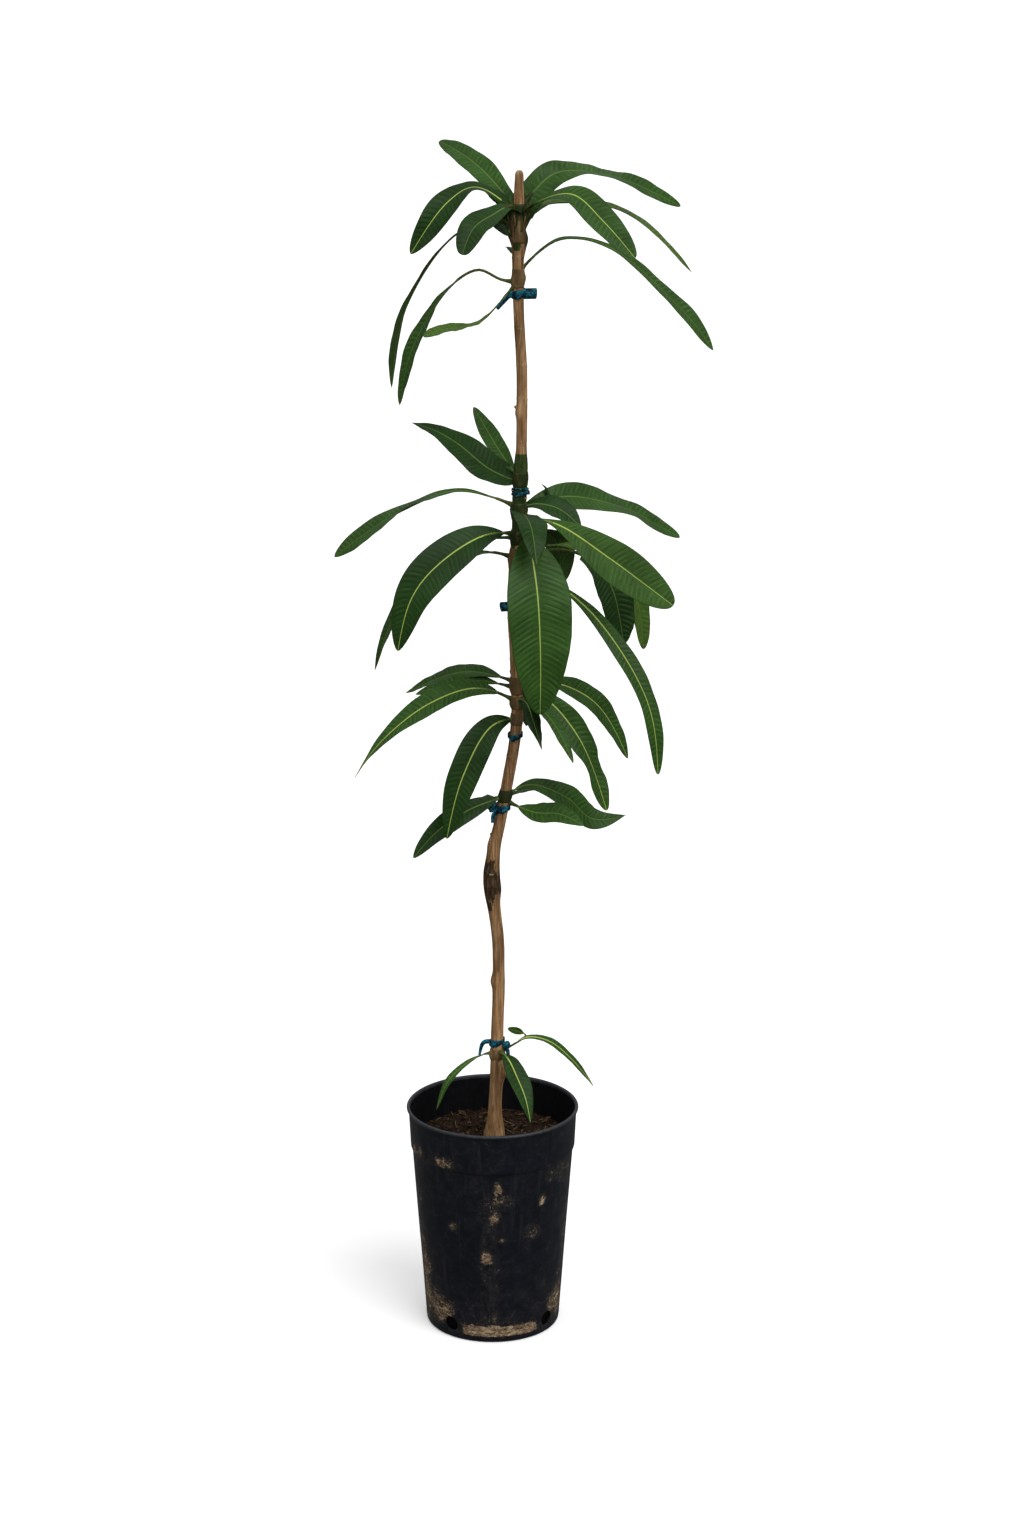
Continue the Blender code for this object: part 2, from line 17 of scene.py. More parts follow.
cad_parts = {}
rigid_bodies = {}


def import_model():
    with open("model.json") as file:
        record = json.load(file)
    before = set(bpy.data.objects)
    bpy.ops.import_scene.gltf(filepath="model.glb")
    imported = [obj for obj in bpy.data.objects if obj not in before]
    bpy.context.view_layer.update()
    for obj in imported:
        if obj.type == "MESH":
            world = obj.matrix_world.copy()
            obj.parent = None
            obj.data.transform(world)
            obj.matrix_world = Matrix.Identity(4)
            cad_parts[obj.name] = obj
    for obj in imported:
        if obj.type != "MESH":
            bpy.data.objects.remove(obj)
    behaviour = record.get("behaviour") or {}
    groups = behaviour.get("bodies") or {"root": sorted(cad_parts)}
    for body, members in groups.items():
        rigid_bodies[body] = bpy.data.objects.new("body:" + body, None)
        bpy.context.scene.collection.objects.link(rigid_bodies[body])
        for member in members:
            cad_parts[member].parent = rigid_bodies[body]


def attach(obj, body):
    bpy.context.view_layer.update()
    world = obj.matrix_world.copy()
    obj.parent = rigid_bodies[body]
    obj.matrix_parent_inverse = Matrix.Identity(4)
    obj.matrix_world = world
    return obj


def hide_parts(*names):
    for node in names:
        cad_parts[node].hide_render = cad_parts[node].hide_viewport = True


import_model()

MM = 0.001

# The same driving sizes as the solids

POT_HEIGHT = 270.0
POT_WALL = 2.0
POT_FLOOR = 3.0
FOOT_RADIUS = 78.4
FOOT_ROUND = 4.0
WALL_TOP_RADIUS = 94.6
BAND_FOOT = 219.0
BAND_STEP = 4.0
BAND_RADIUS = 96.6
RIM_RADIUS = 99.0
LIP_RADIUS = 2.0
DRAIN_COUNT = 4
DRAIN_BEARING = -37.5
DRAIN_HEIGHT = 18.5
DRAIN_RADIUS = 9.0
SOIL_TOP = 228.0

STEM_WAY = (
    (SOIL_TOP + 0.3, 2, 0),
    (330, 5, 1),
    (470, 7, 3),
    (552, -1, 5),
    (644, 14, 2),
    (735, 28, -2),
    (810, 27, -1),
    (880, 24, 3),
    (1010, 32, 5),
    (1130, 34, 2),
    (1221, 30, 0),
    (1363, 31, 2),
)
STEM_FOOT_RADIUS = 7.4
STEM_TOP_RADIUS = 6.0
KNOB_SPREAD = 45.0

CURVE_STEPS = 240  # points along the stem, and along each midrib

# Leaf texture
LEAF_FOLD = 11.0
VEIN_SPACING = 6.0
ROWS_PER_VEIN = 6
RIB_HALF = 0.75
LEAF_HALF_THICKNESS = 0.24
ROLL_BLUR = 25  # points over which a blade's roll is evened out
STALK_RADIUS = 1.8
COLLAR_SWELL = 0.7

# The tones of a blade, each with its skin, its side veins lighter in colour and with a painted highlight,
# and the painted shade of the hollows between them
TONES = {
    # The first tone is painted shade: darker skin for leaves that lie in the shadow of others
    "in_shadow": ((0.0080, 0.024, 0.0036), (0.0110, 0.032, 0.0052), (0.0055, 0.018, 0.0028)),
    "dark": ((0.013, 0.041, 0.006), (0.018, 0.054, 0.0085), (0.0095, 0.031, 0.0044)),
    "mid": ((0.029, 0.077, 0.012), (0.043, 0.108, 0.018), (0.0195, 0.055, 0.0088)),
    "light": ((0.039, 0.092, 0.016), (0.057, 0.128, 0.025), (0.026, 0.067, 0.0115)),
    "fresh": ((0.055, 0.112, 0.016), (0.076, 0.146, 0.026), (0.041, 0.088, 0.0125)),
}
UPPER, VEIN_AND_HIGHLIGHT, PAINTED_SHADE = ({tone: i * len(TONES) + j for j, tone in enumerate(TONES)} for i in range(3))
RIB_BRIGHT, RIB_DULL, UNDER = range(3 * len(TONES), 3 * len(TONES) + 3)
# Painted highlight on the rows of each side vein, painted shade on the rows between the veins
STROKES = ((0, VEIN_AND_HIGHLIGHT, 0.8), (1, VEIN_AND_HIGHLIGHT, 0.3), (3, PAINTED_SHADE, 0.75), (4, PAINTED_SHADE, 0.4))  # row, colour, how often
ACROSS = (0.0, 0.08, 0.18, 0.3, 0.42, 0.54, 0.66, 0.78, 0.88, 0.95, 1.0)


class Swelling(NamedTuple):
    height: float
    extra: float
    below: float
    above: float
    sharpness: float = 2.0


class Knob(NamedTuple):
    height: float
    bearing: float
    extra: float
    reach: float


class Leaf(NamedTuple):
    """A stalk and blade, as in the solids."""

    root: float  # height of the stalk's root on the stem's middle
    bearing: float
    way: tuple  # (outwards, upwards) from the root
    width: float
    turn: tuple = (0, 0, 0)  # roll of the blade about its length, from base to tip
    stalk: float = 20.0  # bare length before the blade
    widest: float = 0.5  # share of the blade's length at its widest
    tip: float = 0.6  # under 0.5 is blunt, 1 is drawn out
    base: float = 0.0  # half the width that the blade keeps where it joins the stem


class Looks(NamedTuple):
    """What only shows close up on a leaf."""

    tone: str = "mid"
    ripple: float = 0.2  # depth of the quilting between the side veins
    wave: float = 0.7  # depth of the waves of its edge
    bright: bool = False  # whether its midrib is bright yellow-green


class Mass(NamedTuple):
    name: str
    low: float
    high: float
    leaves: tuple


class Tie(NamedTuple):
    name: str
    height: float
    band: float
    knot: tuple  # (bearing, outwards, upwards, half sizes)
    tails: tuple = ()  # (bearing, way) of each loose end


SWELLINGS = (
    Swelling(height=SOIL_TOP, extra=5.4, below=20, above=24),
    Swelling(height=548, extra=2.6, below=30, above=26),
    Swelling(height=1010, extra=1.9, below=38, above=36, sharpness=6),
    Swelling(height=1296, extra=1.2, below=36, above=20),
    Swelling(height=1366, extra=-1.5, below=26, above=20),
)
KNOBS = (
    Knob(height=312, bearing=-10, extra=5.0, reach=12),
    Knob(height=424, bearing=190, extra=2.4, reach=7),
    Knob(height=535, bearing=-20, extra=2.4, reach=12),
    Knob(height=590, bearing=160, extra=1.8, reach=10),
    Knob(height=1095, bearing=200, extra=1.8, reach=7),
)

MASSES = (
    Mass("foliage_top", 1284, 1327, (
        Leaf(1317, 130, ((67, 43), (137, 66)), 28, (-20, -35, -30), 4, 0.5, 0.45, 8),
        Leaf(1314, 200, ((50, 33), (80, 20), (125, -36)), 30, (-60, -50, -10, -55, -75, -75), 2,
             0.62, 0.6, 9),
        Leaf(1312, 192, ((12, 12), (28, 25), (46, 37)), 20, (-50, -50, -50), 2, 0.35, 1.0, 6),
        Leaf(1318, 232, ((20, 7), (44, 2), (80, -10), (99, -36)), 31, (-20, -25, -30), 3, 0.6, 0.4, 9),
        Leaf(1304, 165, ((67, -10), (131, -100), (147, -188)), 26, (0, 0, 10), 30, 0.7, 0.7),
        Leaf(1302, 182, ((12, 4), (24, 9), (38, 12)), 26, (-78, -78, -78), 2, 0.3, 0.6, 12),
        Leaf(1318, 25, ((18, 21), (46, 40), (110, 34), (200, -5)), 32,
             (75, 60, 16, 14, 55, 60), 2, 0.4, 0.5, 17),
        Leaf(1313, -35, ((28, 19), (72, 29), (112, 3), (153, -33)), 33, (10, 35, 40), 4, 0.6, 0.5, 7),
        Leaf(1288, 15, ((9, 16), (25, 35), (53, 39), (121, 26), (200, -44)), 24,
             (10, 10, 30), 30, 0.6, 0.7, 2),
        Leaf(1300, 68, ((55, 16), (105, 19), (150, 16), (188, 6)), 28, (0, 10, 20)),
        Leaf(1300, 105, ((60, 5), (105, -5), (150, -16), (184, -28)), 30),
    )),
    Mass("foliage_top_low", 1235, 1256, (
        Leaf(1247, 0, ((9, 14), (45, 41), (95, 35), (180, -36), (216, -82)), 26,
             (20, 20, 20, 55), 24, 0.7, 0.7, 3),
        Leaf(1241, 185, ((19, 3), (44, 14), (71, 0), (97, -33), (120, -80), (132, -135)), 23,
             (0, -30, -40), 72),
        Leaf(1242, 205, ((23, -22), (47, -42), (95, -48), (114, -54)), 18, (0, -15, -25), 20, 0.75, 0.5),
        Leaf(1248, 97, ((14, 16), (40, 24), (76, 18)), 18, (0, 0, 0), 24, 0.5, 0.7),
    )),
    Mass("foliage_middle_high", 1011, 1027, (
        Leaf(1018, 120, ((41, 21), (106, 65)), 22, (-20, -20, -20), 10),
        Leaf(1015, 150, ((40, 11), (80, 35), (108, 47), (142, 54)), 38, (-30, -40, -25), 4, 0.3, 0.85, 4),
    )),
    Mass("foliage_middle", 972, 992, (
        Leaf(986, 170, ((68, 17), (135, -9), (213, -65)), 32, (-18, -20, 2, -35, -50), 25, 0.65),
        Leaf(986, 30, ((64, 6), (145, -18), (180, -38), (215, -58)), 36,
             (40, 60, 45, 20, 50, 50), 12, 0.4, 0.5, 4),
        Leaf(985, -8, ((20, 6), (45, 1), (70, -19)), 28, (20, 40, 50), 5, 0.5, 0.6, 4),
        Leaf(978, -32, ((54, -6), (120, -36), (162, -58), (201, -79)), 46, (20, 60, 62), 20, 0.62, 0.45),
        Leaf(978, -78, ((35, 6), (70, -2), (96, -36)), 42, (-15, -20, -10), 8, 0.4, 0.8, 5),
    )),
    Mass("foliage_middle_mid", 944, 962, (
        Leaf(956, 205, ((40, 2), (97, -26), (129, -60), (147, -120)), 46, (-40, -60, -70), 15, 0.45),
        Leaf(954, -74, ((40, 8), (78, -38), (94, -105), (94, -184)), 74, (0, 0, 0), 46, 0.42, 0.55, 6),
        Leaf(950, 53, ((44, 2), (74, -14), (84, -42), (75, -72)), 42, (0, -5, -10), 14, 0.45),
        Leaf(952, 140, ((70, -14), (125, -36), (168, -88)), 34, (0, -20, -20), 25),
    )),
    Mass("foliage_middle_low", 916, 940, (
        Leaf(928, 160, ((41, 3), (130, -53), (172, -146)), 30, (-20, -35, -45), 25, 0.5, 0.7),
        Leaf(922, -25, ((53, -19), (105, -57), (164, -143), (178, -226)), 24,
             (35, 50, 25, 50), 30, 0.6, 0.5),
        Leaf(932, -5, ((68, 4), (103, -24), (123, -101)), 46, (35, 50, 60), 76, 0.45, 0.5, 8),
        Leaf(936, 30, ((80, -4), (150, -52), (172, -136)), 34, (20, 70, 80), 40, 0.6, 0.5),
        Leaf(926, 82, ((60, 0), (120, -28), (175, -90), (200, -150)), 40, (0, 0, 0), 30),
    )),
    Mass("foliage_lower_high", 771, 792, (
        Leaf(785, 150, ((68, 3), (148, -33)), 26, (-15, -30, -35), 20, 0.4, 0.7),
        Leaf(778, 165, ((55, 5), (120, -16)), 24, (-20, -25, -30), 20, 0.5, 0.7),
        Leaf(785, 30, ((57, -10), (108, -42), (150, -112)), 32, (40, 60, 65), 22),
        Leaf(778, -20, ((33, -8), (74, -50), (109, -134)), 32, (40, 60, 10, 60), 16, 0.45, 0.5),
        Leaf(782, 86, ((60, 0), (120, -28), (168, -96)), 32, (0, 10, 20), 30),
    )),
    Mass("foliage_lower", 754, 769, (
        Leaf(762, 190, ((46, 18), (100, 3), (155, -38), (187, -80)), 30, (-20, -50, -10), 25, 0.3, 1.0),
        Leaf(766, -50, ((36, -2), (67, -18), (98, -55)), 18, (0, 0, 0), 20, 0.5, 0.7),
        Leaf(764, -62, ((22, 2), (42, -20), (60, -44)), 20, (0, 0, 0), 8, 0.35, 1.0),
    )),
    Mass("foliage_lower_low", 735, 749, (
        Leaf(742, 215, ((36, -4), (74, -55), (97, -126)), 37, (-50, -60, -60), 6, 0.45),
        Leaf(742, 108, ((50, -14), (105, -40), (155, -100)), 26),
    )),
    Mass("foliage_lowest", 642, 657, (
        Leaf(648, 200, ((45, -12), (82, -33), (111, -62)), 26, (-60, -60, -50), 8, 0.45),
        Leaf(648, 20, ((30, 11), (76, -9), (108, -38), (150, -38)), 32, (40, 60, 60), 10, 0.55, 1.0),
        Leaf(647, 55, ((55, -4), (105, -24), (140, -44)), 20, (0, 10, 10), 15, 0.45, 0.8),
        Leaf(644, -25, ((39, -10), (70, -8), (100, -18)), 26, (40, 50, 40), 18, 0.45, 0.7),
        Leaf(645, 130, ((40, -8), (85, -38), (115, -65)), 24, (0, -10, 0), 15, 0.5, 0.7),
    )),
    Mass("shoots_base", 326, 341, (
        Leaf(335, 200, ((20, -1), (41, -11), (60, -28), (75, -62)), 9, (-10, -30, -40), 15, 0.5, 0.8),
        Leaf(334, 20, ((18, 7), (38, 15), (66, 6), (94, -20), (122, -58)), 13, (20, 40, 40), 25, 0.5, 0.7),
        Leaf(332, 23, ((18, 8), (33, 15), (37, 19), (30, 24), (14, 31)), 9, (80, 80, 80), 45, 0.5, 0.5),
        Leaf(336, -58, ((22, 0), (47, -20), (63, -38), (74, -64)), 27, (0, 0, 0), 14, 0.42, 0.85),
    )),
)

# How each leaf looks that isn't plain, by its root and bearing
LOOKS = {
    (1314, 200): Looks("dark", bright=True),
    (1312, 192): Looks("dark", 0.15, 0.4),
    (1318, 232): Looks("dark", 0.15, 0.4),
    (1304, 165): Looks("fresh", 0.15, 0.4),
    (1318, 25): Looks("mid", 0.2, 0.9),
    (1313, -35): Looks("mid", 0.2, 0.5, True),
    (1288, 15): Looks("fresh", 0.15, 0.4),
    (1302, 182): Looks("in_shadow", 0.1, 0.3),
    (1242, 205): Looks("fresh"),
    (1015, 150): Looks("dark"),
    (985, -8): Looks("dark"),
    (978, -32): Looks("light", 0.32, 0.6, True),
    (978, -78): Looks("dark", 0.25, 0.8),
    (956, 205): Looks("dark", 0.2, 0.5, True),
    (954, -74): Looks("mid", 0.3, 1.0, True),
    (950, 53): Looks("in_shadow"),
    (952, 140): Looks("in_shadow"),
    (922, -25): Looks("mid", 0.25, 0.9, True),
    (932, -5): Looks("dark", 0.7, 1.0),
    (936, 30): Looks("fresh"),
    (785, 30): Looks("mid", 0.2, 0.6, True),
    (778, -20): Looks("mid", 0.3, 0.9, True),
    (762, 190): Looks("mid", 0.2, 0.5, True),
    (764, -62): Looks("in_shadow"),
    (742, 215): Looks("dark", 0.2, 0.5, True),
    (648, 200): Looks("dark"),
    (335, 200): Looks("mid", 0.12, 0.3),
    (334, 20): Looks("mid", 0.12, 0.3, True),
    (332, 23): Looks("mid", 0.1, 0.2),
    (336, -58): Looks("dark", 0.15, 0.4, True),
}

SPIKED = (986, 30)  # the leaf with a dried corner

TIES = (
    Tie("tie_top", 1228, 11, (10, 13, 0, (7.0, 6.0, 6.6)), ((205, ((12, -1), (18, -7), (26, -15))),)),
    Tie("tie_middle_high", 1005, 8, (-40, 11, 0, (3.0, 3.0, 3.4))),
    Tie("tie_middle_low", 873, 7, (195, 10, 0, (4.0, 4.0, 6.0))),
    Tie("tie_lower", 722, 7, (-110, 9, -2, (3.0, 3.0, 4.4))),
    Tie("tie_lowest", 635, 10, (195, 12, 1, (7.0, 5.5, 7.6)), ((215, ((12, -6), (15, -16))),)),
    Tie("tie_base", 348, 8, (-20, 11, -2, (5.4, 4.4, 5.0)),
        ((-22, ((13, -8), (14, -24))), (168, ((16, -2), (21, -18))))),
)

# Dirt on the pot: (bearing, height, half width in degrees, half height, strength)
DIRT = (
    (-83, 15, 32, 6.5, 1.2),
    (-138, 36, 14, 18, 0.54),
    (-27, 40, 12, 18, 0.46),
    (-156, 72, 13, 36, 0.34),
    (-154, 229, 12, 12, 0.42),
    (-126, 227, 9, 9, 0.62),
    (-27, 205, 12, 16, 0.30),
    (-86, 202, 3, 8, 0.85),
    (-84, 184, 11, 10, 0.40),
    (-88, 163, 4, 8, 0.50),
    (-120, 147, 4, 6, 0.50),
    (-95, 111, 4, 8, 0.56),
    (-51, 179, 4, 9, 0.62),
    (-44, 209, 7, 12, 0.40),
    (-57, 142, 7, 12, 0.38),
    (-83, 134, 3, 3, 0.60),
    (-92, 110, 8, 105, 0.24),
    (-163, 120, 8, 120, 0.36),
    (-18, 90, 8, 100, 0.28),
    (60, 16, 40, 7, 0.9),
    (150, 30, 25, 18, 0.6),
    (20, 226, 18, 12, 0.4),
    (105, 190, 9, 14, 0.45),
    (170, 130, 6, 9, 0.5),
    (75, 120, 10, 90, 0.16),
)
PANEL = 0  # the dirt entry that is one crisp strip between two drains

# The studio
WHITE_BACKGROUND = 1.1
FLOOR_SIZE = 60  # metres
FLOOR_GLOW = 0.22
SKY_LOW = 0.22
SKY_HIGH = 1.1
SUNS = (  # name, the way to it, its width in degrees, strength
    ("key", (1.3, -1.7, 2.0), 50, 2.0),
    ("fill", (-2.0, -2.0, 1.6), 60, 0.35),
)

# The camera: its place in metres, how far it looks down, and its focal length in pixels of the picture
CAMERA_PLACE = (0.02295, -4.0, 1.86)
CAMERA_DOWN = 16.4
FOCAL_PIXELS = 3641
PICTURE_HEIGHT = 1536
SENSOR_HEIGHT = 36


# Meshes


class Pile:
    """Points and faces of many small shapes, joined into one piece."""

    def __init__(self):
        self.points = []
        self.faces = []
        self.slots = []
        self.count = 0

    def add(self, points, faces, slots):
        self.points.append(np.asarray(points, float))
        self.faces += [tuple(int(i) + self.count for i in face) for face in faces]
        self.slots += list(np.broadcast_to(slots, len(faces)))
        self.count += len(points)

    def piece(self, name, materials):
        mesh = bpy.data.meshes.new(name)
        mesh.from_pydata((np.vstack(self.points) * MM).tolist(), [], self.faces)
        mesh.polygons.foreach_set("material_index", np.array(self.slots, np.int32))
        mesh.shade_smooth()
        mesh.update()
        obj = bpy.data.objects.new(name, mesh)
        bpy.context.scene.collection.objects.link(obj)
        for material in materials:
            mesh.materials.append(material)
        return obj


def grid_faces(rows, columns, closed):
    """Quads between neighbouring rows of a grid of points."""
    index = np.arange(rows * columns).reshape(rows, columns)
    if closed:
        index = np.hstack([index, index[:, :1]])
    quads = np.stack([index[:-1, :-1], index[:-1, 1:], index[1:, 1:], index[1:, :-1]], -1)
    return quads.reshape(-1, 4)


def add_rings(pile, rings, slots=0):
    """A closed tube through rings of points, with both its ends capped."""
    rings = np.asarray(rings, float)
    rows, columns = rings.shape[:2]
    faces = grid_faces(rows, columns, True).tolist()
    slots = list(np.broadcast_to(slots, len(faces)))
    faces.append(list(range(columns))[::-1])
    faces.append([(rows - 1) * columns + i for i in range(columns)])
    slots += [slots[0], slots[-1]]
    pile.add(rings.reshape(-1, 3), faces, slots)


def around(sides):
    """Even steps round a circle, in radians."""
    return np.arange(sides) * 2 * math.pi / sides


def circle(turns, radius, height, middle=(0, 0)):
    """A level ring of points, at the given turns in radians."""
    return np.stack([middle[0] + np.cos(turns) * radius, middle[1] + np.sin(turns) * radius,
                     np.full(len(turns), height)], 1)


def towards(bearing, climb=0.0):
    """The unit vector that points at a bearing, and climbs by an angle."""
    turn = math.radians(bearing)
    rise = math.radians(climb)
    return np.array([math.cos(turn) * math.cos(rise), math.sin(turn) * math.cos(rise), math.sin(rise)])


def away_from(bearing, bearings):
    """How far each of the bearings is from a given one, from -180 to 180."""
    return (bearings - bearing + 180) % 360 - 180


def smooth_path(points, count):
    """Even steps along a smooth curve through the points, and its length."""
    knots = np.array(points, float)
    spans = np.sqrt(np.linalg.norm(np.diff(knots, axis=0), axis=1))[:, None]
    slopes = np.diff(knots, axis=0) / spans
    inner = (slopes[:-1] * spans[1:] + slopes[1:] * spans[:-1]) / (spans[1:] + spans[:-1])
    first = 1.5 * slopes[0] - 0.5 * inner[0]
    last = 1.5 * slopes[-1] - 0.5 * inner[-1]
    rates = np.vstack([first, inner, last])
    t = np.linspace(0, 1, 120)[:, None]
    fine = np.vstack([
        (2 * t**3 - 3 * t**2 + 1) * knots[i]
        + (t**3 - 2 * t**2 + t) * span * rates[i]
        + (3 * t**2 - 2 * t**3) * knots[i + 1]
        + (t**3 - t**2) * span * rates[i + 1]
        for i, span in enumerate(spans[:, 0])
    ])
    along = np.concatenate([[0], np.cumsum(np.linalg.norm(np.diff(fine, axis=0), axis=1))])
    even = np.linspace(0, along[-1], count)
    return np.stack([np.interp(even, along, axis) for axis in fine.T], 1), along[-1]


def unit(vectors):
    return vectors / np.linalg.norm(vectors, axis=-1, keepdims=True)


def tube_rings(path, radii, sides):
    """Rings round a path, turned as little as possible from one to the next."""
    path = np.asarray(path, float)
    forward = unit(np.gradient(path, axis=0))
    side = np.array([0.3, 0.2, 1.0])
    turns = around(sides)
    rings = []
    for point, ahead, radius in zip(path, forward, np.broadcast_to(radii, len(path))):
        side = unit(side - ahead * (side @ ahead))
        other = np.cross(ahead, side)
        rings.append(point + radius * (np.cos(turns)[:, None] * side + np.sin(turns)[:, None] * other))
    return np.array(rings)


def rough(points, scale, seed=0.0, stretch=(1, 1, 1)):
    """Smooth noise from -1 to 1 at each point."""
    points = np.asarray(points, float).reshape(-1, 3) * np.array(stretch, float) / scale + seed
    return np.array([noise.noise(Vector(point)) for point in points])


# Stem


AXIS = smooth_path([(x, y, z) for z, x, y in STEM_WAY], CURVE_STEPS)[0]


def stem_centre(height):
    return np.array([np.interp(height, AXIS[:, 2], AXIS[:, i]) for i in range(2)])


def stem_point(height):
    return np.array([*stem_centre(height), height])


def stem_radius(height):
    share = (height - SOIL_TOP) / (STEM_WAY[-1][0] - SOIL_TOP)
    radius = STEM_FOOT_RADIUS + (STEM_TOP_RADIUS - STEM_FOOT_RADIUS) * min(share * 1.25, 1)
    for swell in SWELLINGS:
        reach = swell.below if height < swell.height else swell.above
        radius += swell.extra * math.exp(-(abs((height - swell.height) / reach) ** swell.sharpness))
    return radius


def knob_rise(height, bearings):
    """How far the knobs stand out of the stem, all round it at a height."""
    rise = 0
    for knob in KNOBS:
        near = math.exp(-(((height - knob.height) / knob.reach) ** 2))
        rise = rise + knob.extra * near * np.exp(-((away_from(knob.bearing, bearings) / KNOB_SPREAD) ** 2))
    return rise


BARK, GREEN, SCAR, GRAFT = range(4)
BARK_SIDES = 48
BARK_STEP = 1.7
GREEN_LOW = 900.0
GREEN_HIGH = 1047.0
CROWN_GREEN = (1276, 1318)  # where the stem greens again under the top leaves
CUT_TIP = 1358  # pale wood above this
TIP_ROUND = 4.0
GRAFT_LOW = 510.0
GRAFT_HIGH = 574.0
GRAFT_BLEND = 26.0
GRAFT_MIDDLE = 545  # where the bark is roughest
GRAFT_REACH = 48
OLD_TOP = 640  # below this the bark grows coarser, over the next stretch down
OLD_FADE = 260
GRAFT_BEARING = 205  # the side on which the graft's dark bark reaches furthest
GRAFT_MARK = (262, 561)  # bearing and height of the pale mark on the graft
SCAR_HEIGHTS = (680, 699, 812, 838, 861, 893, 989, 997, 1062, 1110, 1148, 1190, 1268)
# What is left of side shoots: (height, bearing, climb, length, radius)
STUBS = (
    (312, -10, 55, 13, 3.4),
    (424, 190, 20, 4, 1.9),
    (590, 160, 70, 9, 2.2),
    (1095, 200, 40, 7, 1.8),
)


def bark_kinds(height, bearings, lumps, grain):
    """Which bark each point round the stem has, at a height."""
    turns = np.radians(bearings)
    shade = rough(circle(turns, 6, height), 7.0, 11.7, (1, 1, 0.25))
    row = np.full(BARK_SIDES, BARK)
    row[(GREEN_LOW + 45 + 60 * shade < height) & (height < GREEN_HIGH)] = GREEN
    low, high = CROWN_GREEN
    row[(low < height < high) & (shade > 0.3 - (height - low) / 70)] = GREEN
    row[(height > CUT_TIP) & (grain > -0.1)] = SCAR
    into = min(height - GRAFT_LOW, GRAFT_HIGH - height) / GRAFT_BLEND
    left = 0.5 * np.cos(turns - math.radians(GRAFT_BEARING))
    row[into + left + 0.9 * shade + 0.5 * grain > 0.45] = GRAFT
    for scar in SCAR_HEIGHTS:
        near = np.abs(height - scar - 1.2 * np.cos(turns - scar)) < 0.5 + 1.1 * lumps
        row[near & (grain > -0.15)] = SCAR
    bearing, middle = GRAFT_MARK
    row[(np.abs(away_from(bearing, bearings)) < 20) & (abs(height - middle) < 7) & (lumps > -0.1)] = SCAR
    return row


def make_bark(materials):
    low = STEM_WAY[0][0]
    high = STEM_WAY[-1][0]
    heights = np.linspace(low, high, round((high - low) / BARK_STEP) + 1)
    bearings = np.arange(BARK_SIDES) * 360 / BARK_SIDES
    turns = np.radians(bearings)
    rings = []
    slots = []
    for height in heights:
        spots = circle(turns, 6, height)
        fissure = rough(spots, 3.2, 7.3, (1, 1, 0.10))
        lumps = rough(spots, 9.0, 2.1, (1, 1, 0.35))
        grain = rough(spots, 1.3, 4.9, (1, 1, 0.25))
        in_graft = math.exp(-(((height - GRAFT_MIDDLE) / GRAFT_REACH) ** 4))
        old = float(np.clip((OLD_TOP - height) / OLD_FADE, 0, 1))
        radius = stem_radius(height) + knob_rise(height, bearings)
        radius = radius + (0.22 + 0.35 * old + 0.55 * in_graft) * fissure
        radius = radius + (0.15 + 0.5 * in_graft + 0.25 * old) * lumps + 0.12 * grain
        radius = radius - 2.2 * max(0, (height - high + TIP_ROUND) / TIP_ROUND) ** 2
        for scar in SCAR_HEIGHTS:
            tilt = 1.2 * np.cos(turns - scar)
            radius = radius + 0.3 * (1 + lumps) * np.exp(-(((height - scar - tilt) / 1.2) ** 2))
        rings.append(circle(turns, radius, height, stem_centre(height)))
        slots.append(bark_kinds(height, bearings, lumps, grain))
    pile = Pile()
    add_rings(pile, rings, np.concatenate(slots[:-1]))
    for height, bearing, climb, length, radius in STUBS:
        reach = stem_radius(height) * 0.7 + np.linspace(0, length, 6)[:, None]
        radii = radius * np.array([1.25, 1.1, 1.0, 1.0, 0.98, 0.85])
        add_rings(pile, tube_rings(stem_point(height) + reach * towards(bearing, climb), radii, 14), BARK)
        pile.slots[-1] = SCAR
    return pile.piece("trunk_bark", materials)


# Leaves


def blade_shape(share, widest, tip):
    """The blade's half width, from 0 to 1, at a share of its length from its base."""
    share = np.clip(share, 0, 1)
    arch = np.sin(math.pi * share ** (math.log(0.5) / math.log(widest)))
    return np.where(share < widest, np.maximum(arch, 0) ** 0.85, np.maximum(arch, 0) ** tip)


class Rib:
    """A leaf's midrib: where it runs and which way the blade faces, at any share of its length."""

    def __init__(self, leaf):
        path, self.length = smooth_path([(0, 0), *leaf.way], CURVE_STEPS)
        outwards = towards(leaf.bearing)
        level = np.array([-outwards[1], outwards[0], 0])
        self.shares = np.linspace(0, 1, CURVE_STEPS)
        self.middle = stem_point(leaf.root) + path[:, :1] * outwards + path[:, 1:] * np.array([0, 0, 1])
        forward = unit(np.gradient(self.middle, axis=0))
        upwards = np.cross(forward, level)
        self.start = leaf.stalk / self.length
        share = (self.shares - self.start) / (1 - self.start)
        roll = np.radians(np.interp(share, np.linspace(0, 1, len(leaf.turn)), leaf.turn))
        roll = np.pad(roll, ROLL_BLUR // 2, mode="edge")
        roll = np.convolve(roll, np.full(ROLL_BLUR, 1 / ROLL_BLUR), "valid")[:, None]
        self.side = np.cos(roll) * level + np.sin(roll) * upwards
        self.normal = np.cos(roll) * upwards - np.sin(roll) * level

    def at(self, values, share):
        return np.stack([np.interp(share, self.shares, column) for column in values.T], -1)


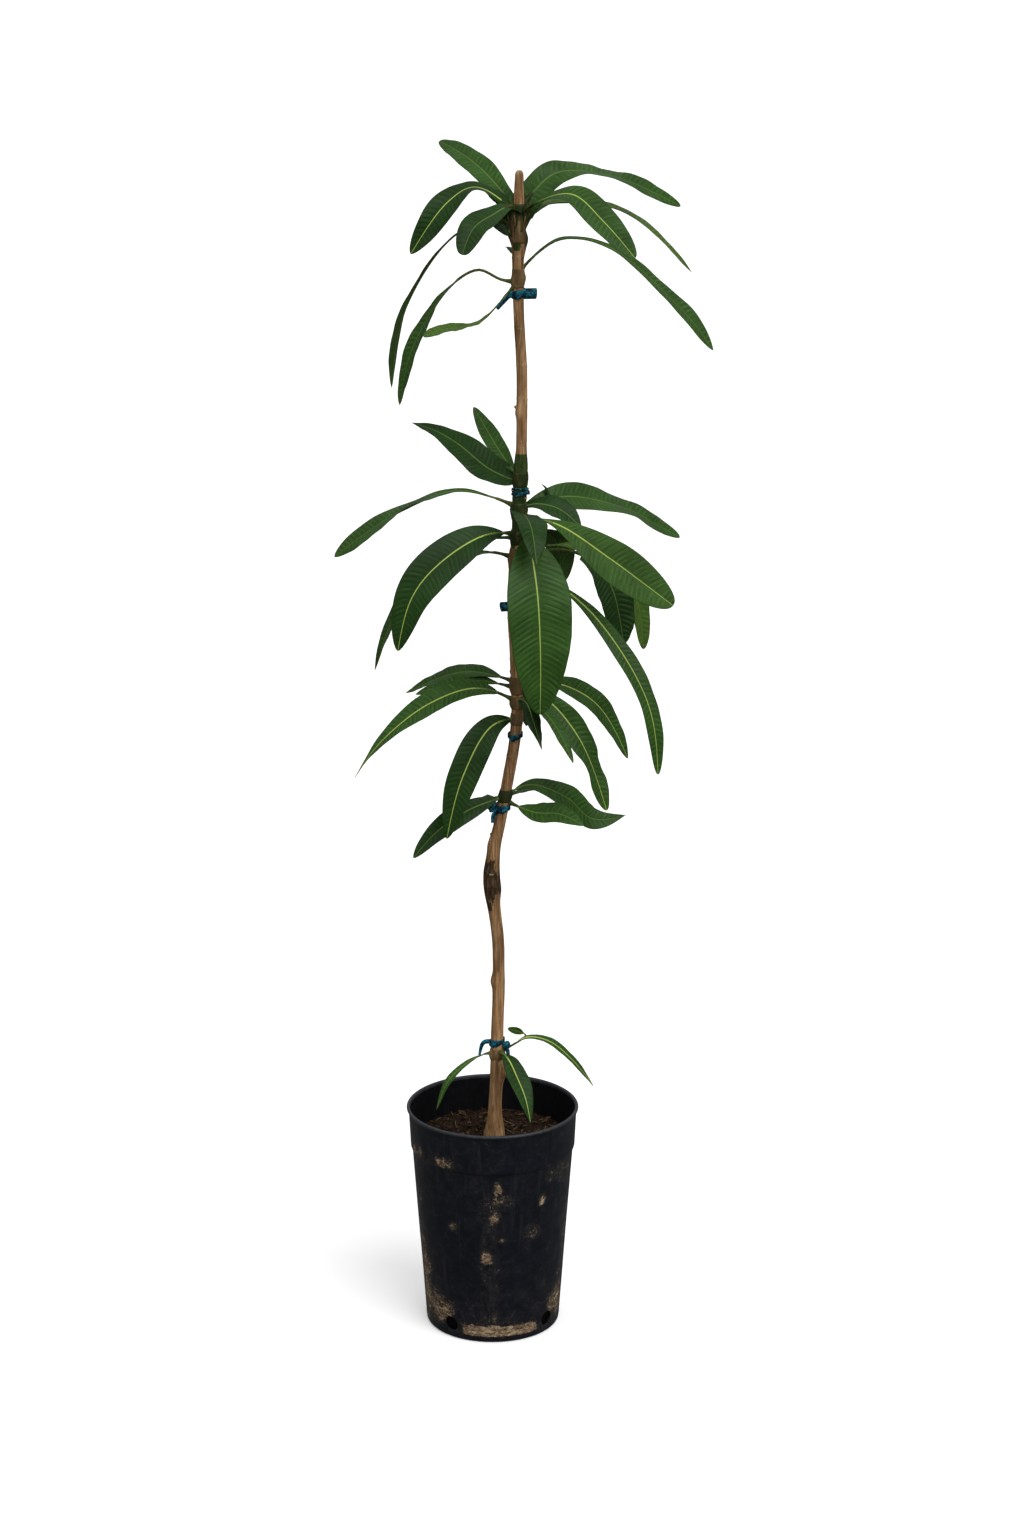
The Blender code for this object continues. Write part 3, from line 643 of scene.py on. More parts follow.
def paint_blade(looks, rows, columns, veins, rng):
    """The slot of each face of a blade's upper side: skin, strokes of painted highlight along its side veins
    and of painted shade between them, and midrib.
    """
    row_of = np.repeat(np.arange(rows - 1), columns - 1)
    column_of = np.tile(np.arange(columns - 1), rows - 1)
    middle = (columns - 1) // 2
    slots = np.full(len(row_of), UPPER[looks.tone])
    reach = np.abs(column_of + 0.5 - middle) / middle
    right = column_of >= middle
    # Strokes of painted highlight on the side veins, and of painted shade in the hollows between them
    for vein in range(veins):
        for side in (False, True):
            for row, slot, chance in STROKES:
                start = rng.uniform(0, 0.45)
                end = start + rng.uniform(0.25, 0.75)
                if rng.random() < chance:
                    stroke = (row_of == vein * ROWS_PER_VEIN + row) & (right == side)
                    slots[stroke & (reach > start) & (reach < end)] = slot[looks.tone]
    slots[(column_of == middle) | (column_of == middle - 1)] = RIB_BRIGHT if looks.bright else RIB_DULL
    return slots


def add_blade(pile, leaf, looks, rib, rng):
    """The two faces of a blade. Its rows run along the side veins, so that each vein is a row."""
    blade_length = rib.length * (1 - rib.start)
    veins = max(6, round(blade_length / VEIN_SPACING))
    rows = veins * ROWS_PER_VEIN + 1
    u = np.linspace(0, 1, rows)[:, None]
    fractions = np.array([-f for f in ACROSS[::-1]] + [0.0] + list(ACROSS))[None, :]
    rib_side = np.array([-1] * len(ACROSS) + [0] + [1] * len(ACROSS))[None, :]
    side_of = np.where(rib_side < 0, 0, 1)
    shear = 0.45 * leaf.width / 2 / blade_length * np.abs(fractions) ** 1.3
    share = np.clip(u + shear * np.clip(6 * u, 0, 1) * np.clip(5 * (1 - u), 0, 1), 0, 1)
    half = np.maximum(blade_shape(share, leaf.widest, leaf.tip) * leaf.width / 2, 0.35)
    half = np.hypot(half, leaf.base * np.clip(1 - share / 0.4, 0, 1))
    waves = np.array([rng.uniform(2.0, 3.4), rng.uniform(2.4, 4.2)])[side_of]
    phase = np.array([rng.uniform(0, 6.28), rng.uniform(0, 6.28)])[side_of]
    half = half * (1 + 0.014 * np.sin(2 * math.pi * waves * share + 2 * phase))
    rib_half = np.minimum(RIB_HALF * (1.25 - 0.9 * share), 0.4 * half)
    across = rib_side * (rib_half + (half - rib_half) * np.abs(fractions))

    spread = np.abs(across) / np.maximum(half, 0.01)
    opened = np.clip(share * 6, 0, 1)
    closed = np.clip((1 - share) * 8, 0, 1)
    fold = math.tan(math.radians(LEAF_FOLD))
    lift = np.abs(across) * fold * opened * (1.5 - 0.75 * spread)
    strengths = [[rng.uniform(0.25, 1.35) for _ in range(veins + 2)] for _ in range(2)]
    left, right = (np.interp(u * veins, np.arange(veins + 2), strength) for strength in strengths)
    strength = np.where(side_of == 0, left, right)
    beat = np.cos(2 * math.pi * veins * u)
    arch = np.sin(math.pi * np.clip(spread * 0.96, 0, 1)) ** 0.7
    lift = lift - looks.ripple * strength * (0.5 * beat + 0.5 * np.abs(beat)) * arch * opened * closed
    edge = looks.wave * np.sin(2 * math.pi * waves * share + phase)
    edge = edge + 0.3 * looks.wave * np.sin(2 * math.pi * 2.7 * waves * share + 2.3 * phase)
    lift = lift + edge * spread**2.5 * opened * closed
    lift = lift + np.where(spread < 0.01, 0.35, 0) * opened - np.where(np.abs(fractions) == 0, 0.12, 0)

    s = rib.start + (1 - rib.start) * share
    normal = rib.at(rib.normal, s)
    points = rib.at(rib.middle, s) + across[..., None] * rib.at(rib.side, s) + lift[..., None] * normal
    thick = (LEAF_HALF_THICKNESS * (1 - 0.6 * spread**6))[..., None]
    top = points + thick * normal
    bottom = points - thick * normal

    columns = fractions.shape[1]
    faces = grid_faces(rows, columns, False)
    slots = paint_blade(looks, rows, columns, veins, rng)
    index = np.arange(rows * columns).reshape(rows, columns)
    rim = np.concatenate([index[:, 0], index[-1, 1:], index[-2::-1, -1], index[0, -2:0:-1]])
    shift = rows * columns
    ahead = np.roll(rim, -1)
    rim_faces = np.stack([rim, rim + shift, ahead + shift, ahead], 1)
    all_faces = np.vstack([faces, faces[:, ::-1] + shift, rim_faces[:, ::-1]])
    rim_slots = np.full(len(rim_faces), UPPER[looks.tone])
    all_slots = np.concatenate([slots, np.full(len(faces), UNDER), rim_slots])
    pile.add(np.concatenate([top.reshape(-1, 3), bottom.reshape(-1, 3)]), all_faces.tolist(), all_slots)


STALK, RIB_UNDER, COLLAR, COLLAR_BROWN = range(4)
BASE_STEPS = 26
BASE_SIDES = 14
STALK_SIDES = 10
COLLAR_SIDES = 48
COLLAR_ROWS = 18
BROWN_COLLARS = ("foliage_top_low", "foliage_middle_low", "foliage_lower_high", "foliage_lower",
                 "foliage_lower_low", "shoots_base")


def add_stalk(pile, leaf, rib):
    """The stalk, with its swollen foot, running on as the ridge under the blade."""
    inside = stem_radius(leaf.root) * 0.6 / rib.length
    shares = np.concatenate([np.linspace(inside, rib.start, 14), np.linspace(rib.start, 0.985, 40)[1:]])
    along = shares * rib.length
    past = np.clip((shares - rib.start) / (1 - rib.start), 0, 1)
    root = stem_radius(leaf.root)
    foot = 1.5 * np.exp(-(((along - root) / 6.0) ** 2))
    size = min(1.0, 0.4 + 0.6 * leaf.width / 30)
    radii = (STALK_RADIUS * size + foot * (0.6 + 0.4 * size)) * (1 - past) + 0.3 * past
    radii = np.where(past > 0, np.minimum(radii, 0.95 * size * (1 - past) + 0.3), radii)
    middle = rib.at(rib.middle, shares)
    normal = rib.at(rib.normal, shares)
    drop = np.interp(past, [0, 0.06, 1], [0, 0.7, 0.35])[:, None]
    slots = np.where(shares[:-1] < rib.start, STALK, RIB_UNDER)
    rings = tube_rings(middle - drop * normal, radii, STALK_SIDES)
    add_rings(pile, rings, np.repeat(slots, STALK_SIDES))


def add_leaf_base(pile, leaf, rib, run):
    """The foot of a leaf, running down the stem below its root and out along the blade's start."""
    outwards = towards(leaf.bearing)
    spread = 2.0 + 0.32 * leaf.base
    path = []
    for share in (0, 0.35, 0.7, 1):
        height = leaf.root - run * (1 - share)
        path.append(stem_point(height) + outwards * (stem_radius(height) - 1.6 + spread * share**1.5))
    start = stem_radius(leaf.root) / rib.length
    path += [rib.at(rib.middle, start + out / rib.length) for out in (5.0, 12.0, 20.0)]
    path = smooth_path(path, BASE_STEPS)[0]
    along = np.linspace(0, 1, BASE_STEPS)
    radii = np.interp(along, [0, 0.45, 0.7, 1], [0.8, 3.0 + 0.06 * leaf.base, 3.0 + 0.1 * leaf.base, 1.1])
    rings = tube_rings(path, radii, BASE_SIDES)
    grooves = 0.3 * np.sin(5 * np.arange(BASE_SIDES) * 2 * math.pi / BASE_SIDES + leaf.bearing)
    rings += unit(rings - path[:, None]) * grooves[None, :, None]
    brown = along[:-1, None] < 0.36 + 0.5 * grooves[None, :]
    add_rings(pile, rings, np.where(brown, COLLAR_BROWN, COLLAR).ravel())


def add_spike(pile, rib):
    """A dried corner of the blade, curled up to a point."""
    foot = rib.at(rib.middle, 0.17)
    way = [foot, foot + [-1, 0, 6], foot + [-3, 0, 12], foot + [-8, 0, 17]]
    path = smooth_path(way, 14)[0]
    add_rings(pile, tube_rings(path, np.linspace(3.4, 0.3, 14), 8), UPPER["dark"])


def add_collar(pile, mass):
    """Leaf bases swollen round the stem, with a lump under each leaf."""
    bearings = np.arange(COLLAR_SIDES) * 360 / COLLAR_SIDES
    turns = np.radians(bearings)
    rings = []
    slots = []
    for height in np.linspace(mass.low, mass.high, COLLAR_ROWS):
        share = (height - mass.low) / (mass.high - mass.low)
        arch = math.sin(math.pi * min(share, 1)) ** 0.6
        radius = np.full(COLLAR_SIDES, stem_radius(height) + 0.25 + COLLAR_SWELL * arch)
        for leaf in mass.leaves:
            near = math.exp(-(((height - leaf.root + 2) / 6.5) ** 2))
            radius += 1.5 * near * np.exp(-((away_from(leaf.bearing, bearings) / 24) ** 2)) * arch
        spots = circle(turns, 6, height)
        radius += 0.25 * rough(spots, 2.2, 3.3, (1, 1, 0.3)) * arch
        rings.append(circle(turns, radius, height, stem_centre(height)))
        streak = rough(spots, 3.0, 6.1, (1, 1, 0.12))
        green = share > 0.45 + 0.9 * streak if mass is MASSES[0] else mass.name not in BROWN_COLLARS
        slots.append(np.where(green, COLLAR, COLLAR_BROWN) * np.ones(COLLAR_SIDES, int))
    add_rings(pile, rings, np.concatenate(slots[1:]))


def make_leaves(mass, seed, leaf_materials, stalk_materials):
    rng = random.Random(seed)
    blades = Pile()
    stalks = Pile()
    for leaf in mass.leaves:
        rib = Rib(leaf)
        add_blade(blades, leaf, LOOKS.get((leaf.root, leaf.bearing), Looks()), rib, rng)
        add_stalk(stalks, leaf, rib)
        if (leaf.root, leaf.bearing) == SPIKED:
            add_spike(blades, rib)
        if mass is MASSES[0]:
            add_leaf_base(stalks, leaf, rib, 20 + 12 * rng.random())
    add_collar(stalks, mass)
    return (
        blades.piece(mass.name + "_leaves", leaf_materials),
        stalks.piece(mass.name + "_stalks", stalk_materials),
    )


# Ties

BAND_SIDES = 44  # steps in one turn of tape
ROLL_STEPS = 70
ROLL_TURNS = 2.6
KNOT_STEPS = 72
TAIL_STEPS = 20
ROLLED = ("tie_top", "tie_middle_low")  # ties whose end is rolled up, where the others have a knot


def add_band(pile, height, width, turns_count, tilt, lean):
    """Tape wound round the stem."""
    steps = int(BAND_SIDES * turns_count)
    rings = []
    for i in range(steps + 1):
        turn = 2 * math.pi * i / BAND_SIDES
        z = height + tilt * math.cos(turn - lean) + 0.35 * math.sin(2.3 * turn + lean)
        z += (i / steps - 0.5) * 1.5
        x, y = stem_centre(z)
        inner = stem_radius(z) + 0.25 + 0.75 * (i / BAND_SIDES) + 0.12 * math.sin(7 * turn)
        outwards = np.array([math.cos(turn), math.sin(turn), 0])
        half = width / 2 * (0.9 + 0.14 * math.sin(3 * turn + lean))
        section = [(0, -half), (0.75, -half * 0.92), (0.95, -half * 0.3), (0.7, 0), (0.95, half * 0.35),
                   (0.75, half * 0.92), (0, half), (-0.1, 0)]
        rings.append([np.array([x, y, z + up]) + (inner + out) * outwards for out, up in section])
    add_rings(pile, rings)


def add_roll(pile, centre, ahead, length, radius):
    """The tape's end rolled up on itself."""
    ahead = unit(np.array(ahead, float))
    side = unit(np.cross(ahead, [0.1, 0.2, 1.0]))
    other = np.cross(ahead, side)
    turns = np.linspace(0, 2 * math.pi * ROLL_TURNS, ROLL_STEPS)
    spiral = 1.2 + (radius - 1.7) * np.linspace(0, 1, ROLL_STEPS) ** 0.4
    rings = []
    for turn, r in zip(turns, spiral):
        out = math.cos(turn) * side + math.sin(turn) * other
        slack = 0.35 * math.sin(1.7 * turn)
        near = centre - ahead * (length / 2 - slack)
        far = centre + ahead * (length / 2 + slack)
        bulge = 0.25 * math.sin(2 * turn)
        rings.append([near + (r - 0.45) * out, near + (r + 0.45) * out,
                      (near + far) / 2 + (r + 0.5 + bulge) * out,
                      far + (r + 0.45) * out, far + (r - 0.45) * out,
                      (near + far) / 2 + (r - 0.4 + bulge) * out])
    add_rings(pile, rings)


def add_knot(pile, centre, size):
    """An overhand knot of the twisted tape."""
    t = np.linspace(0, 2 * math.pi, KNOT_STEPS, endpoint=False)
    loop = np.stack([np.sin(t) + 2 * np.sin(2 * t), np.cos(t) - 2 * np.cos(2 * t), -1.6 * np.sin(3 * t)], 1)
    thickness = 0.36 * min(size)
    loop = loop / 3 * (np.array(size) - thickness * 0.6)
    path = centre + np.vstack([loop, loop[:1]])
    radii = thickness * (1 + 0.16 * np.sin(5 * np.linspace(0, 2 * math.pi, KNOT_STEPS + 1)))
    add_rings(pile, tube_rings(path, radii, 10))


def add_tail(pile, tie, bearing, way):
    """The tape's loose end, a strip that stands on its edge and narrows outwards."""
    outwards = towards(bearing)
    across = np.array([-outwards[1], outwards[0], 0])
    path = smooth_path([(stem_radius(tie.height) - 1, 0), *way], TAIL_STEPS)[0]
    slopes = np.gradient(path, axis=0)
    rings = []
    for i, ((out, up), (run, climb)) in enumerate(zip(path, slopes)):
        middle = stem_point(tie.height) + [0, 0, up] + out * outwards
        wide = unit(outwards * -climb + np.array([0, 0, run]))
        half = np.interp(i / (TAIL_STEPS - 1), (0, 0.5, 1), (0.36, 0.30, 0.18)) * tie.band
        curl = 0.5 * math.sin(i / 2.5)
        rings.append([middle + a * wide + (b + curl) * across for a, b in
                      ((-half, -0.5), (0, -0.9), (half, -0.5), (half, 0.5), (0, 0.2), (-half, 0.5))])
    add_rings(pile, rings)


def make_tie(tie, lean, materials):
    pile = Pile()
    if tie.name == "tie_middle_high":
        for lift, strand_lean in ((-2.6, 0.4), (0, 2.2), (2.5, 4.4)):
            add_band(pile, tie.height + lift, 2.2, 1.15, 1.3, strand_lean)
    elif tie.name == "tie_base":
        add_band(pile, tie.height, 5.0, 1.6, 3.0, 0.2)
        add_band(pile, tie.height + 1, 4.0, 1.2, -1.5, 1.4)
    else:
        add_band(pile, tie.height, tie.band * 0.92, 1.5, 1.0, lean)
    bearing, out, up, size = tie.knot
    centre = stem_point(tie.height) + [0, 0, up] + out * towards(bearing)
    if tie.name in ROLLED:
        add_roll(pile, centre, towards(bearing), 2 * size[0], size[2])
    else:
        add_knot(pile, centre, size)
    for tail in tie.tails:
        add_tail(pile, tie, *tail)
    return pile.piece(tie.name + "_tape", materials)


# Pot and soil


def outer_radius(height):
    """The pot's outer radius at a height, below the lip."""
    if height < BAND_FOOT:
        return FOOT_RADIUS + (WALL_TOP_RADIUS - FOOT_RADIUS) * height / BAND_FOOT
    share = (height - BAND_FOOT - BAND_STEP) / (POT_HEIGHT - BAND_FOOT - BAND_STEP)
    return BAND_RADIUS + (RIM_RADIUS - BAND_RADIUS) * max(share, 0)


def arc(centre, radius, start, end, count):
    turns = np.radians(np.linspace(start, end, count))
    return [(centre[0] + radius * math.cos(t), centre[1] + radius * math.sin(t)) for t in turns]


def pot_profile():
    """(radius, height) from the floor's middle, up the inside, over the lip and down the outside."""
    band_top = BAND_FOOT + BAND_STEP
    lip_height = POT_HEIGHT - LIP_RADIUS
    inner_foot = outer_radius(POT_FLOOR) - POT_WALL
    profile = [(r, POT_FLOOR) for r in np.linspace(0.5, inner_foot, 8)]
    wall = WALL_TOP_RADIUS - POT_WALL
    profile += [(inner_foot + (wall - inner_foot) * t, POT_FLOOR + (BAND_FOOT - POT_FLOOR) * t)
                for t in np.linspace(0, 1, 24)[1:]]
    profile += [(BAND_RADIUS - POT_WALL, band_top)]
    profile += [(BAND_RADIUS - POT_WALL + (RIM_RADIUS - BAND_RADIUS) * t,
                 band_top + (lip_height - LIP_RADIUS - band_top) * t) for t in np.linspace(0, 1, 9)[1:]]
    profile += arc((RIM_RADIUS, lip_height), LIP_RADIUS, 180, -60, 18)
    profile += [(RIM_RADIUS + 0.1, lip_height - 1.9 * LIP_RADIUS)]
    profile += [(outer_radius(z), z) for z in np.linspace(lip_height - 3 * LIP_RADIUS, band_top + 1.2, 16)]
    step = BAND_RADIUS - WALL_TOP_RADIUS
    fall = BAND_STEP + 2
    profile += [(WALL_TOP_RADIUS + step * (0.5 + 0.5 * math.cos(math.pi * t)), band_top - fall * t)
                for t in np.linspace(0.05, 0.95, 8)]
    profile += [(outer_radius(z), z) for z in np.linspace(BAND_FOOT - 4, 11, 96)]
    profile += [(outer_radius(z) + 0.25 * math.sin(math.pi * (z - 5) / 5), z) for z in (10, 9, 8, 7, 6, 5)]
    profile += arc((outer_radius(FOOT_ROUND) - FOOT_ROUND, FOOT_ROUND), FOOT_ROUND, 0, -90, 8)
    profile += [(r, 0.0) for r in np.linspace(66, 0.5, 8)]
    return np.array(profile)


POT_SIDES = 180
PLASTIC, LIP_HIGHLIGHT, SHADED_INSIDE = range(3)


def cut_drains(pot):
    """Round holes through the wall, low down."""
    cutters = bpy.data.collections.new("drain_cutters")
    bpy.context.scene.collection.children.link(cutters)
    for i in range(DRAIN_COUNT):
        turn = math.radians(DRAIN_BEARING + 360 * i / DRAIN_COUNT)
        mesh = bmesh.new()
        bmesh.ops.create_cone(mesh, cap_ends=True, segments=28, radius1=DRAIN_RADIUS * MM,
                              radius2=DRAIN_RADIUS * MM, depth=20 * MM)
        data = bpy.data.meshes.new("drain")
        mesh.to_mesh(data)
        mesh.free()
        cutter = bpy.data.objects.new("drain", data)
        cutters.objects.link(cutter)
        cutter.rotation_euler = (0, math.pi / 2, turn)
        cutter.location = (FOOT_RADIUS * MM * math.cos(turn), FOOT_RADIUS * MM * math.sin(turn),
                           DRAIN_HEIGHT * MM)
    cut = pot.modifiers.new("Drains", "BOOLEAN")
    cut.operation = "DIFFERENCE"
    cut.operand_type = "COLLECTION"
    cut.collection = cutters
    bpy.context.view_layer.update()
    graph = bpy.context.evaluated_depsgraph_get()
    mesh = bpy.data.meshes.new_from_object(pot.evaluated_get(graph))
    pot.modifiers.clear()
    pot.data = mesh
    for cutter in list(cutters.objects):
        bpy.data.objects.remove(cutter, do_unlink=True)
    bpy.data.collections.remove(cutters)


def make_pot(materials):
    profile = pot_profile()
    turns = around(POT_SIDES)
    rings = []
    for radius, height in profile:
        spots = circle(turns, radius, height)
        if radius > 40 and height > 6:  # the wall isn't perfectly round
            spots[:, :2] *= 1 + 0.35 * rough(spots, 60, 5.5)[:, None] / radius
        rings.append(spots)
    pile = Pile()
    heights = (profile[1:, 1] + profile[:-1, 1]) / 2
    radii = (profile[1:, 0] + profile[:-1, 0]) / 2
    inside = radii < np.array([outer_radius(z) - POT_WALL / 2 for z in heights])
    # The inside of the wall is painted darker than the outside, painted shade within the pot
    slots = np.where(inside & (heights > 1), SHADED_INSIDE, PLASTIC)
    # The lip is painted lighter than the wall, a painted highlight along the rim
    slots[heights > POT_HEIGHT - 2 * LIP_RADIUS] = LIP_HIGHLIGHT
    add_rings(pile, np.array(rings)[:, ::-1], np.repeat(slots, POT_SIDES))
    pot = pile.piece("pot_shell", materials)
    cut_drains(pot)
    paint_dirt(pot.data)
    return pot


def paint_dirt(mesh):
    """How dirty each point of the pot is, from 0 to 1, for its material to break up."""
    points = np.empty(len(mesh.vertices) * 3)
    mesh.vertices.foreach_get("co", points)
    points = points.reshape(-1, 3) / MM
    bearings = np.degrees(np.arctan2(points[:, 1], points[:, 0]))
    amount = 0.22 * np.exp(-(((points[:, 2] - 20) / 22) ** 2)) + 0.06
    for i, (bearing, height, half_width, half_height, strength) in enumerate(DIRT):
        edge = 12 if i == PANEL else 3
        sideways = np.abs(away_from(bearing, bearings) / half_width) ** edge
        upright = np.abs((points[:, 2] - height) / half_height) ** edge
        amount += strength * np.exp(-sideways - upright)
    amount *= 1 - np.exp(-((points[:, 2] / 5) ** 4))
    outside = np.hypot(points[:, 0], points[:, 1]) > np.array([outer_radius(z) - 1 for z in points[:, 2]])
    amount = np.where(outside, amount, 0.25)
    layer = mesh.attributes.new("dirt", "FLOAT", "POINT")
    layer.data.foreach_set("value", np.clip(amount, 0, 1).astype(np.float32))


SOIL_DARK, SOIL_CLOD, SOIL_STRAW, SOIL_CHIP, SOIL_IN_SHADOW = range(5)
SOIL_SIDES = 128
SOIL_RINGS = 62
SOIL_MIDDLE = 5.0  # radius of the soil's innermost ring
EDGE_GAP = 0.8  # between the plug's edge and the outermost ring of its top
CLODS = 260
CHIPS = 120
STRAWS = 60


class Ground:
    """The soil's lumpy top, in rings from the pot's wall inwards."""

    def __init__(self, edge, turns):
        self.edge = edge
        self.rings = []
        self.slots = []
        for radius in np.linspace(edge - EDGE_GAP, SOIL_MIDDLE, SOIL_RINGS):
            spots = circle(turns, radius, 0.0)
            clods = np.abs(rough(spots, 12, 3.1)) * 7.5 + np.abs(rough(spots, 5.0, 8.8)) * 4.5
            fine = rough(spots, 1.6, 1.2) * 0.9
            near_stem = math.exp(-(((radius - SOIL_MIDDLE) / 14) ** 2))
            near_edge = math.exp(-(((edge - radius) / 5) ** 2))
            spots[:, 2] = SOIL_TOP - 2.4 + (clods + fine) * (1 - 0.55 * near_stem) * (1 - 0.5 * near_edge)
            self.rings.append(spots)
            # Near-black painted shade in the low places between the clods
            self.slots.append(np.where(clods + fine < 1.1, SOIL_IN_SHADOW, SOIL_DARK))

    def place(self, radius, turn, lift):
        """A point over the ground, lifted off it."""
        inwards = (self.edge - EDGE_GAP - radius) / (self.edge - EDGE_GAP - SOIL_MIDDLE)
        row = int(np.clip(inwards * (SOIL_RINGS - 1), 0, SOIL_RINGS - 1))
        height = self.rings[row][int(turn / (2 * math.pi) * SOIL_SIDES) % SOIL_SIDES, 2]
        return np.array([radius * math.cos(turn), radius * math.sin(turn), height + lift])

    def spot(self, rng, low, high):
        """A random radius and turn, spread evenly between two shares of the soil's area."""
        return self.edge * math.sqrt(rng.uniform(low, high)), rng.uniform(0, 2 * math.pi)


def spun(shape, spin):
    """A shape, turned about the vertical."""
    x = shape[:, 0] * math.cos(spin) - shape[:, 1] * math.sin(spin)
    y = shape[:, 0] * math.sin(spin) + shape[:, 1] * math.cos(spin)
    return np.stack([x, y, shape[:, 2]], 1)


def kept_inside(points, most):
    """Points, drawn in where they lie further than this from the pot's axis."""
    reach = np.hypot(points[:, 0], points[:, 1])
    points[:, :2] *= np.minimum(1, most / reach)[:, None]
    return points


def add_clod(pile, ground, ball, i, rng):
    points, faces = ball
    radius, turn = ground.spot(rng, 0.02, 0.93)
    size = rng.uniform(1.0, 2.6) if i % 6 else rng.uniform(2.6, 5.0)
    if radius < 18 and size > 2.6:
        size = 2.0
    clod = points * (1 + 0.35 * rough(points, 0.8, i * 1.7)[:, None])
    clod = clod * [size, size * rng.uniform(0.6, 1), size * rng.uniform(0.5, 0.8)]
    clod = spun(clod, rng.uniform(0, math.pi)) + ground.place(radius, turn, size * 0.15)
    pile.add(clod, faces, rng.choice((SOIL_DARK, SOIL_DARK, SOIL_CLOD)))


def add_chip(pile, ground, ball, i, rng):
    """A flat, tilted chip of bark."""
    points, faces = ball
    radius, turn = ground.spot(rng, 0.05, 0.85)
    spin = rng.uniform(0, 2 * math.pi)
    tilt = rng.uniform(-0.5, 0.5)
    length = rng.uniform(4, 11)
    width = rng.uniform(0.25, 0.55) * length
    chip = points * [length / 2, width / 2, rng.uniform(0.5, 1.2)]
    chip = chip * (1 + 0.25 * rough(points, 0.7, 90 + i)[:, None])
    chip[:, 2] += chip[:, 0] * tilt
    chip = kept_inside(spun(chip, spin) + ground.place(radius, turn, 0.8), ground.edge - 1.0)
    pile.add(chip, faces, SOIL_CHIP if i % 3 else SOIL_CLOD)


def add_straw(pile, ground, rng):
    radius, turn = ground.spot(rng, 0.03, 0.85)
    spin = rng.uniform(0, 2 * math.pi)
    length = rng.uniform(5, 20)
    t = np.linspace(-0.5, 0.5, 7)[:, None]
    ahead = np.array([math.cos(spin), math.sin(spin), rng.uniform(-0.12, 0.12)])
    bow = np.array([-math.sin(spin), math.cos(spin), 0.3]) * rng.uniform(-2, 2)
    path = ground.place(radius, turn, 0.9) + ahead * t * length + bow * (t**2) * 4
    thick = rng.uniform(0.35, 0.8) * np.array([0.6, 0.9, 1, 1, 1, 0.9, 0.5])
    add_rings(pile, tube_rings(kept_inside(path, ground.edge - 2.5), thick, 5), SOIL_STRAW)


def unit_ball():
    """(points, faces) of a ball of radius 1."""
    mesh = bmesh.new()
    bmesh.ops.create_icosphere(mesh, subdivisions=2, radius=1)
    points = np.array([v.co for v in mesh.verts])
    faces = [[v.index for v in face.verts] for face in mesh.faces]
    mesh.free()
    return points, faces


def make_soil(materials):
    """Lumpy potting soil with clods, chips and straw on it, over the plug that fills the pot."""
    rng = random.Random(12)
    pile = Pile()
    turns = around(SOIL_SIDES)
    ground = Ground(outer_radius(SOIL_TOP - 1) - POT_WALL - 0.5, turns)
    plug = [circle(turns, radius, height) for radius, height in (
        (outer_radius(POT_FLOOR) - POT_WALL - 0.6, POT_FLOOR + 0.3),
        (outer_radius(100) - POT_WALL - 0.6, 100),
        (WALL_TOP_RADIUS - POT_WALL - 0.6, BAND_FOOT),
        (ground.edge, SOIL_TOP - 2.0),
    )]
    # The plug's sides are near-black, painted shade
    in_shadow = np.full(len(plug) * SOIL_SIDES, SOIL_IN_SHADOW)
    add_rings(pile, plug + ground.rings, np.concatenate([in_shadow, *ground.slots[1:]]))
    ball = unit_ball()
    for i in range(CLODS):
        add_clod(pile, ground, ball, i, rng)
    for i in range(CHIPS):
        add_chip(pile, ground, ball, i, rng)
    for _ in range(STRAWS):
        add_straw(pile, ground, rng)
    return pile.piece("soil_ground", materials)


# Materials


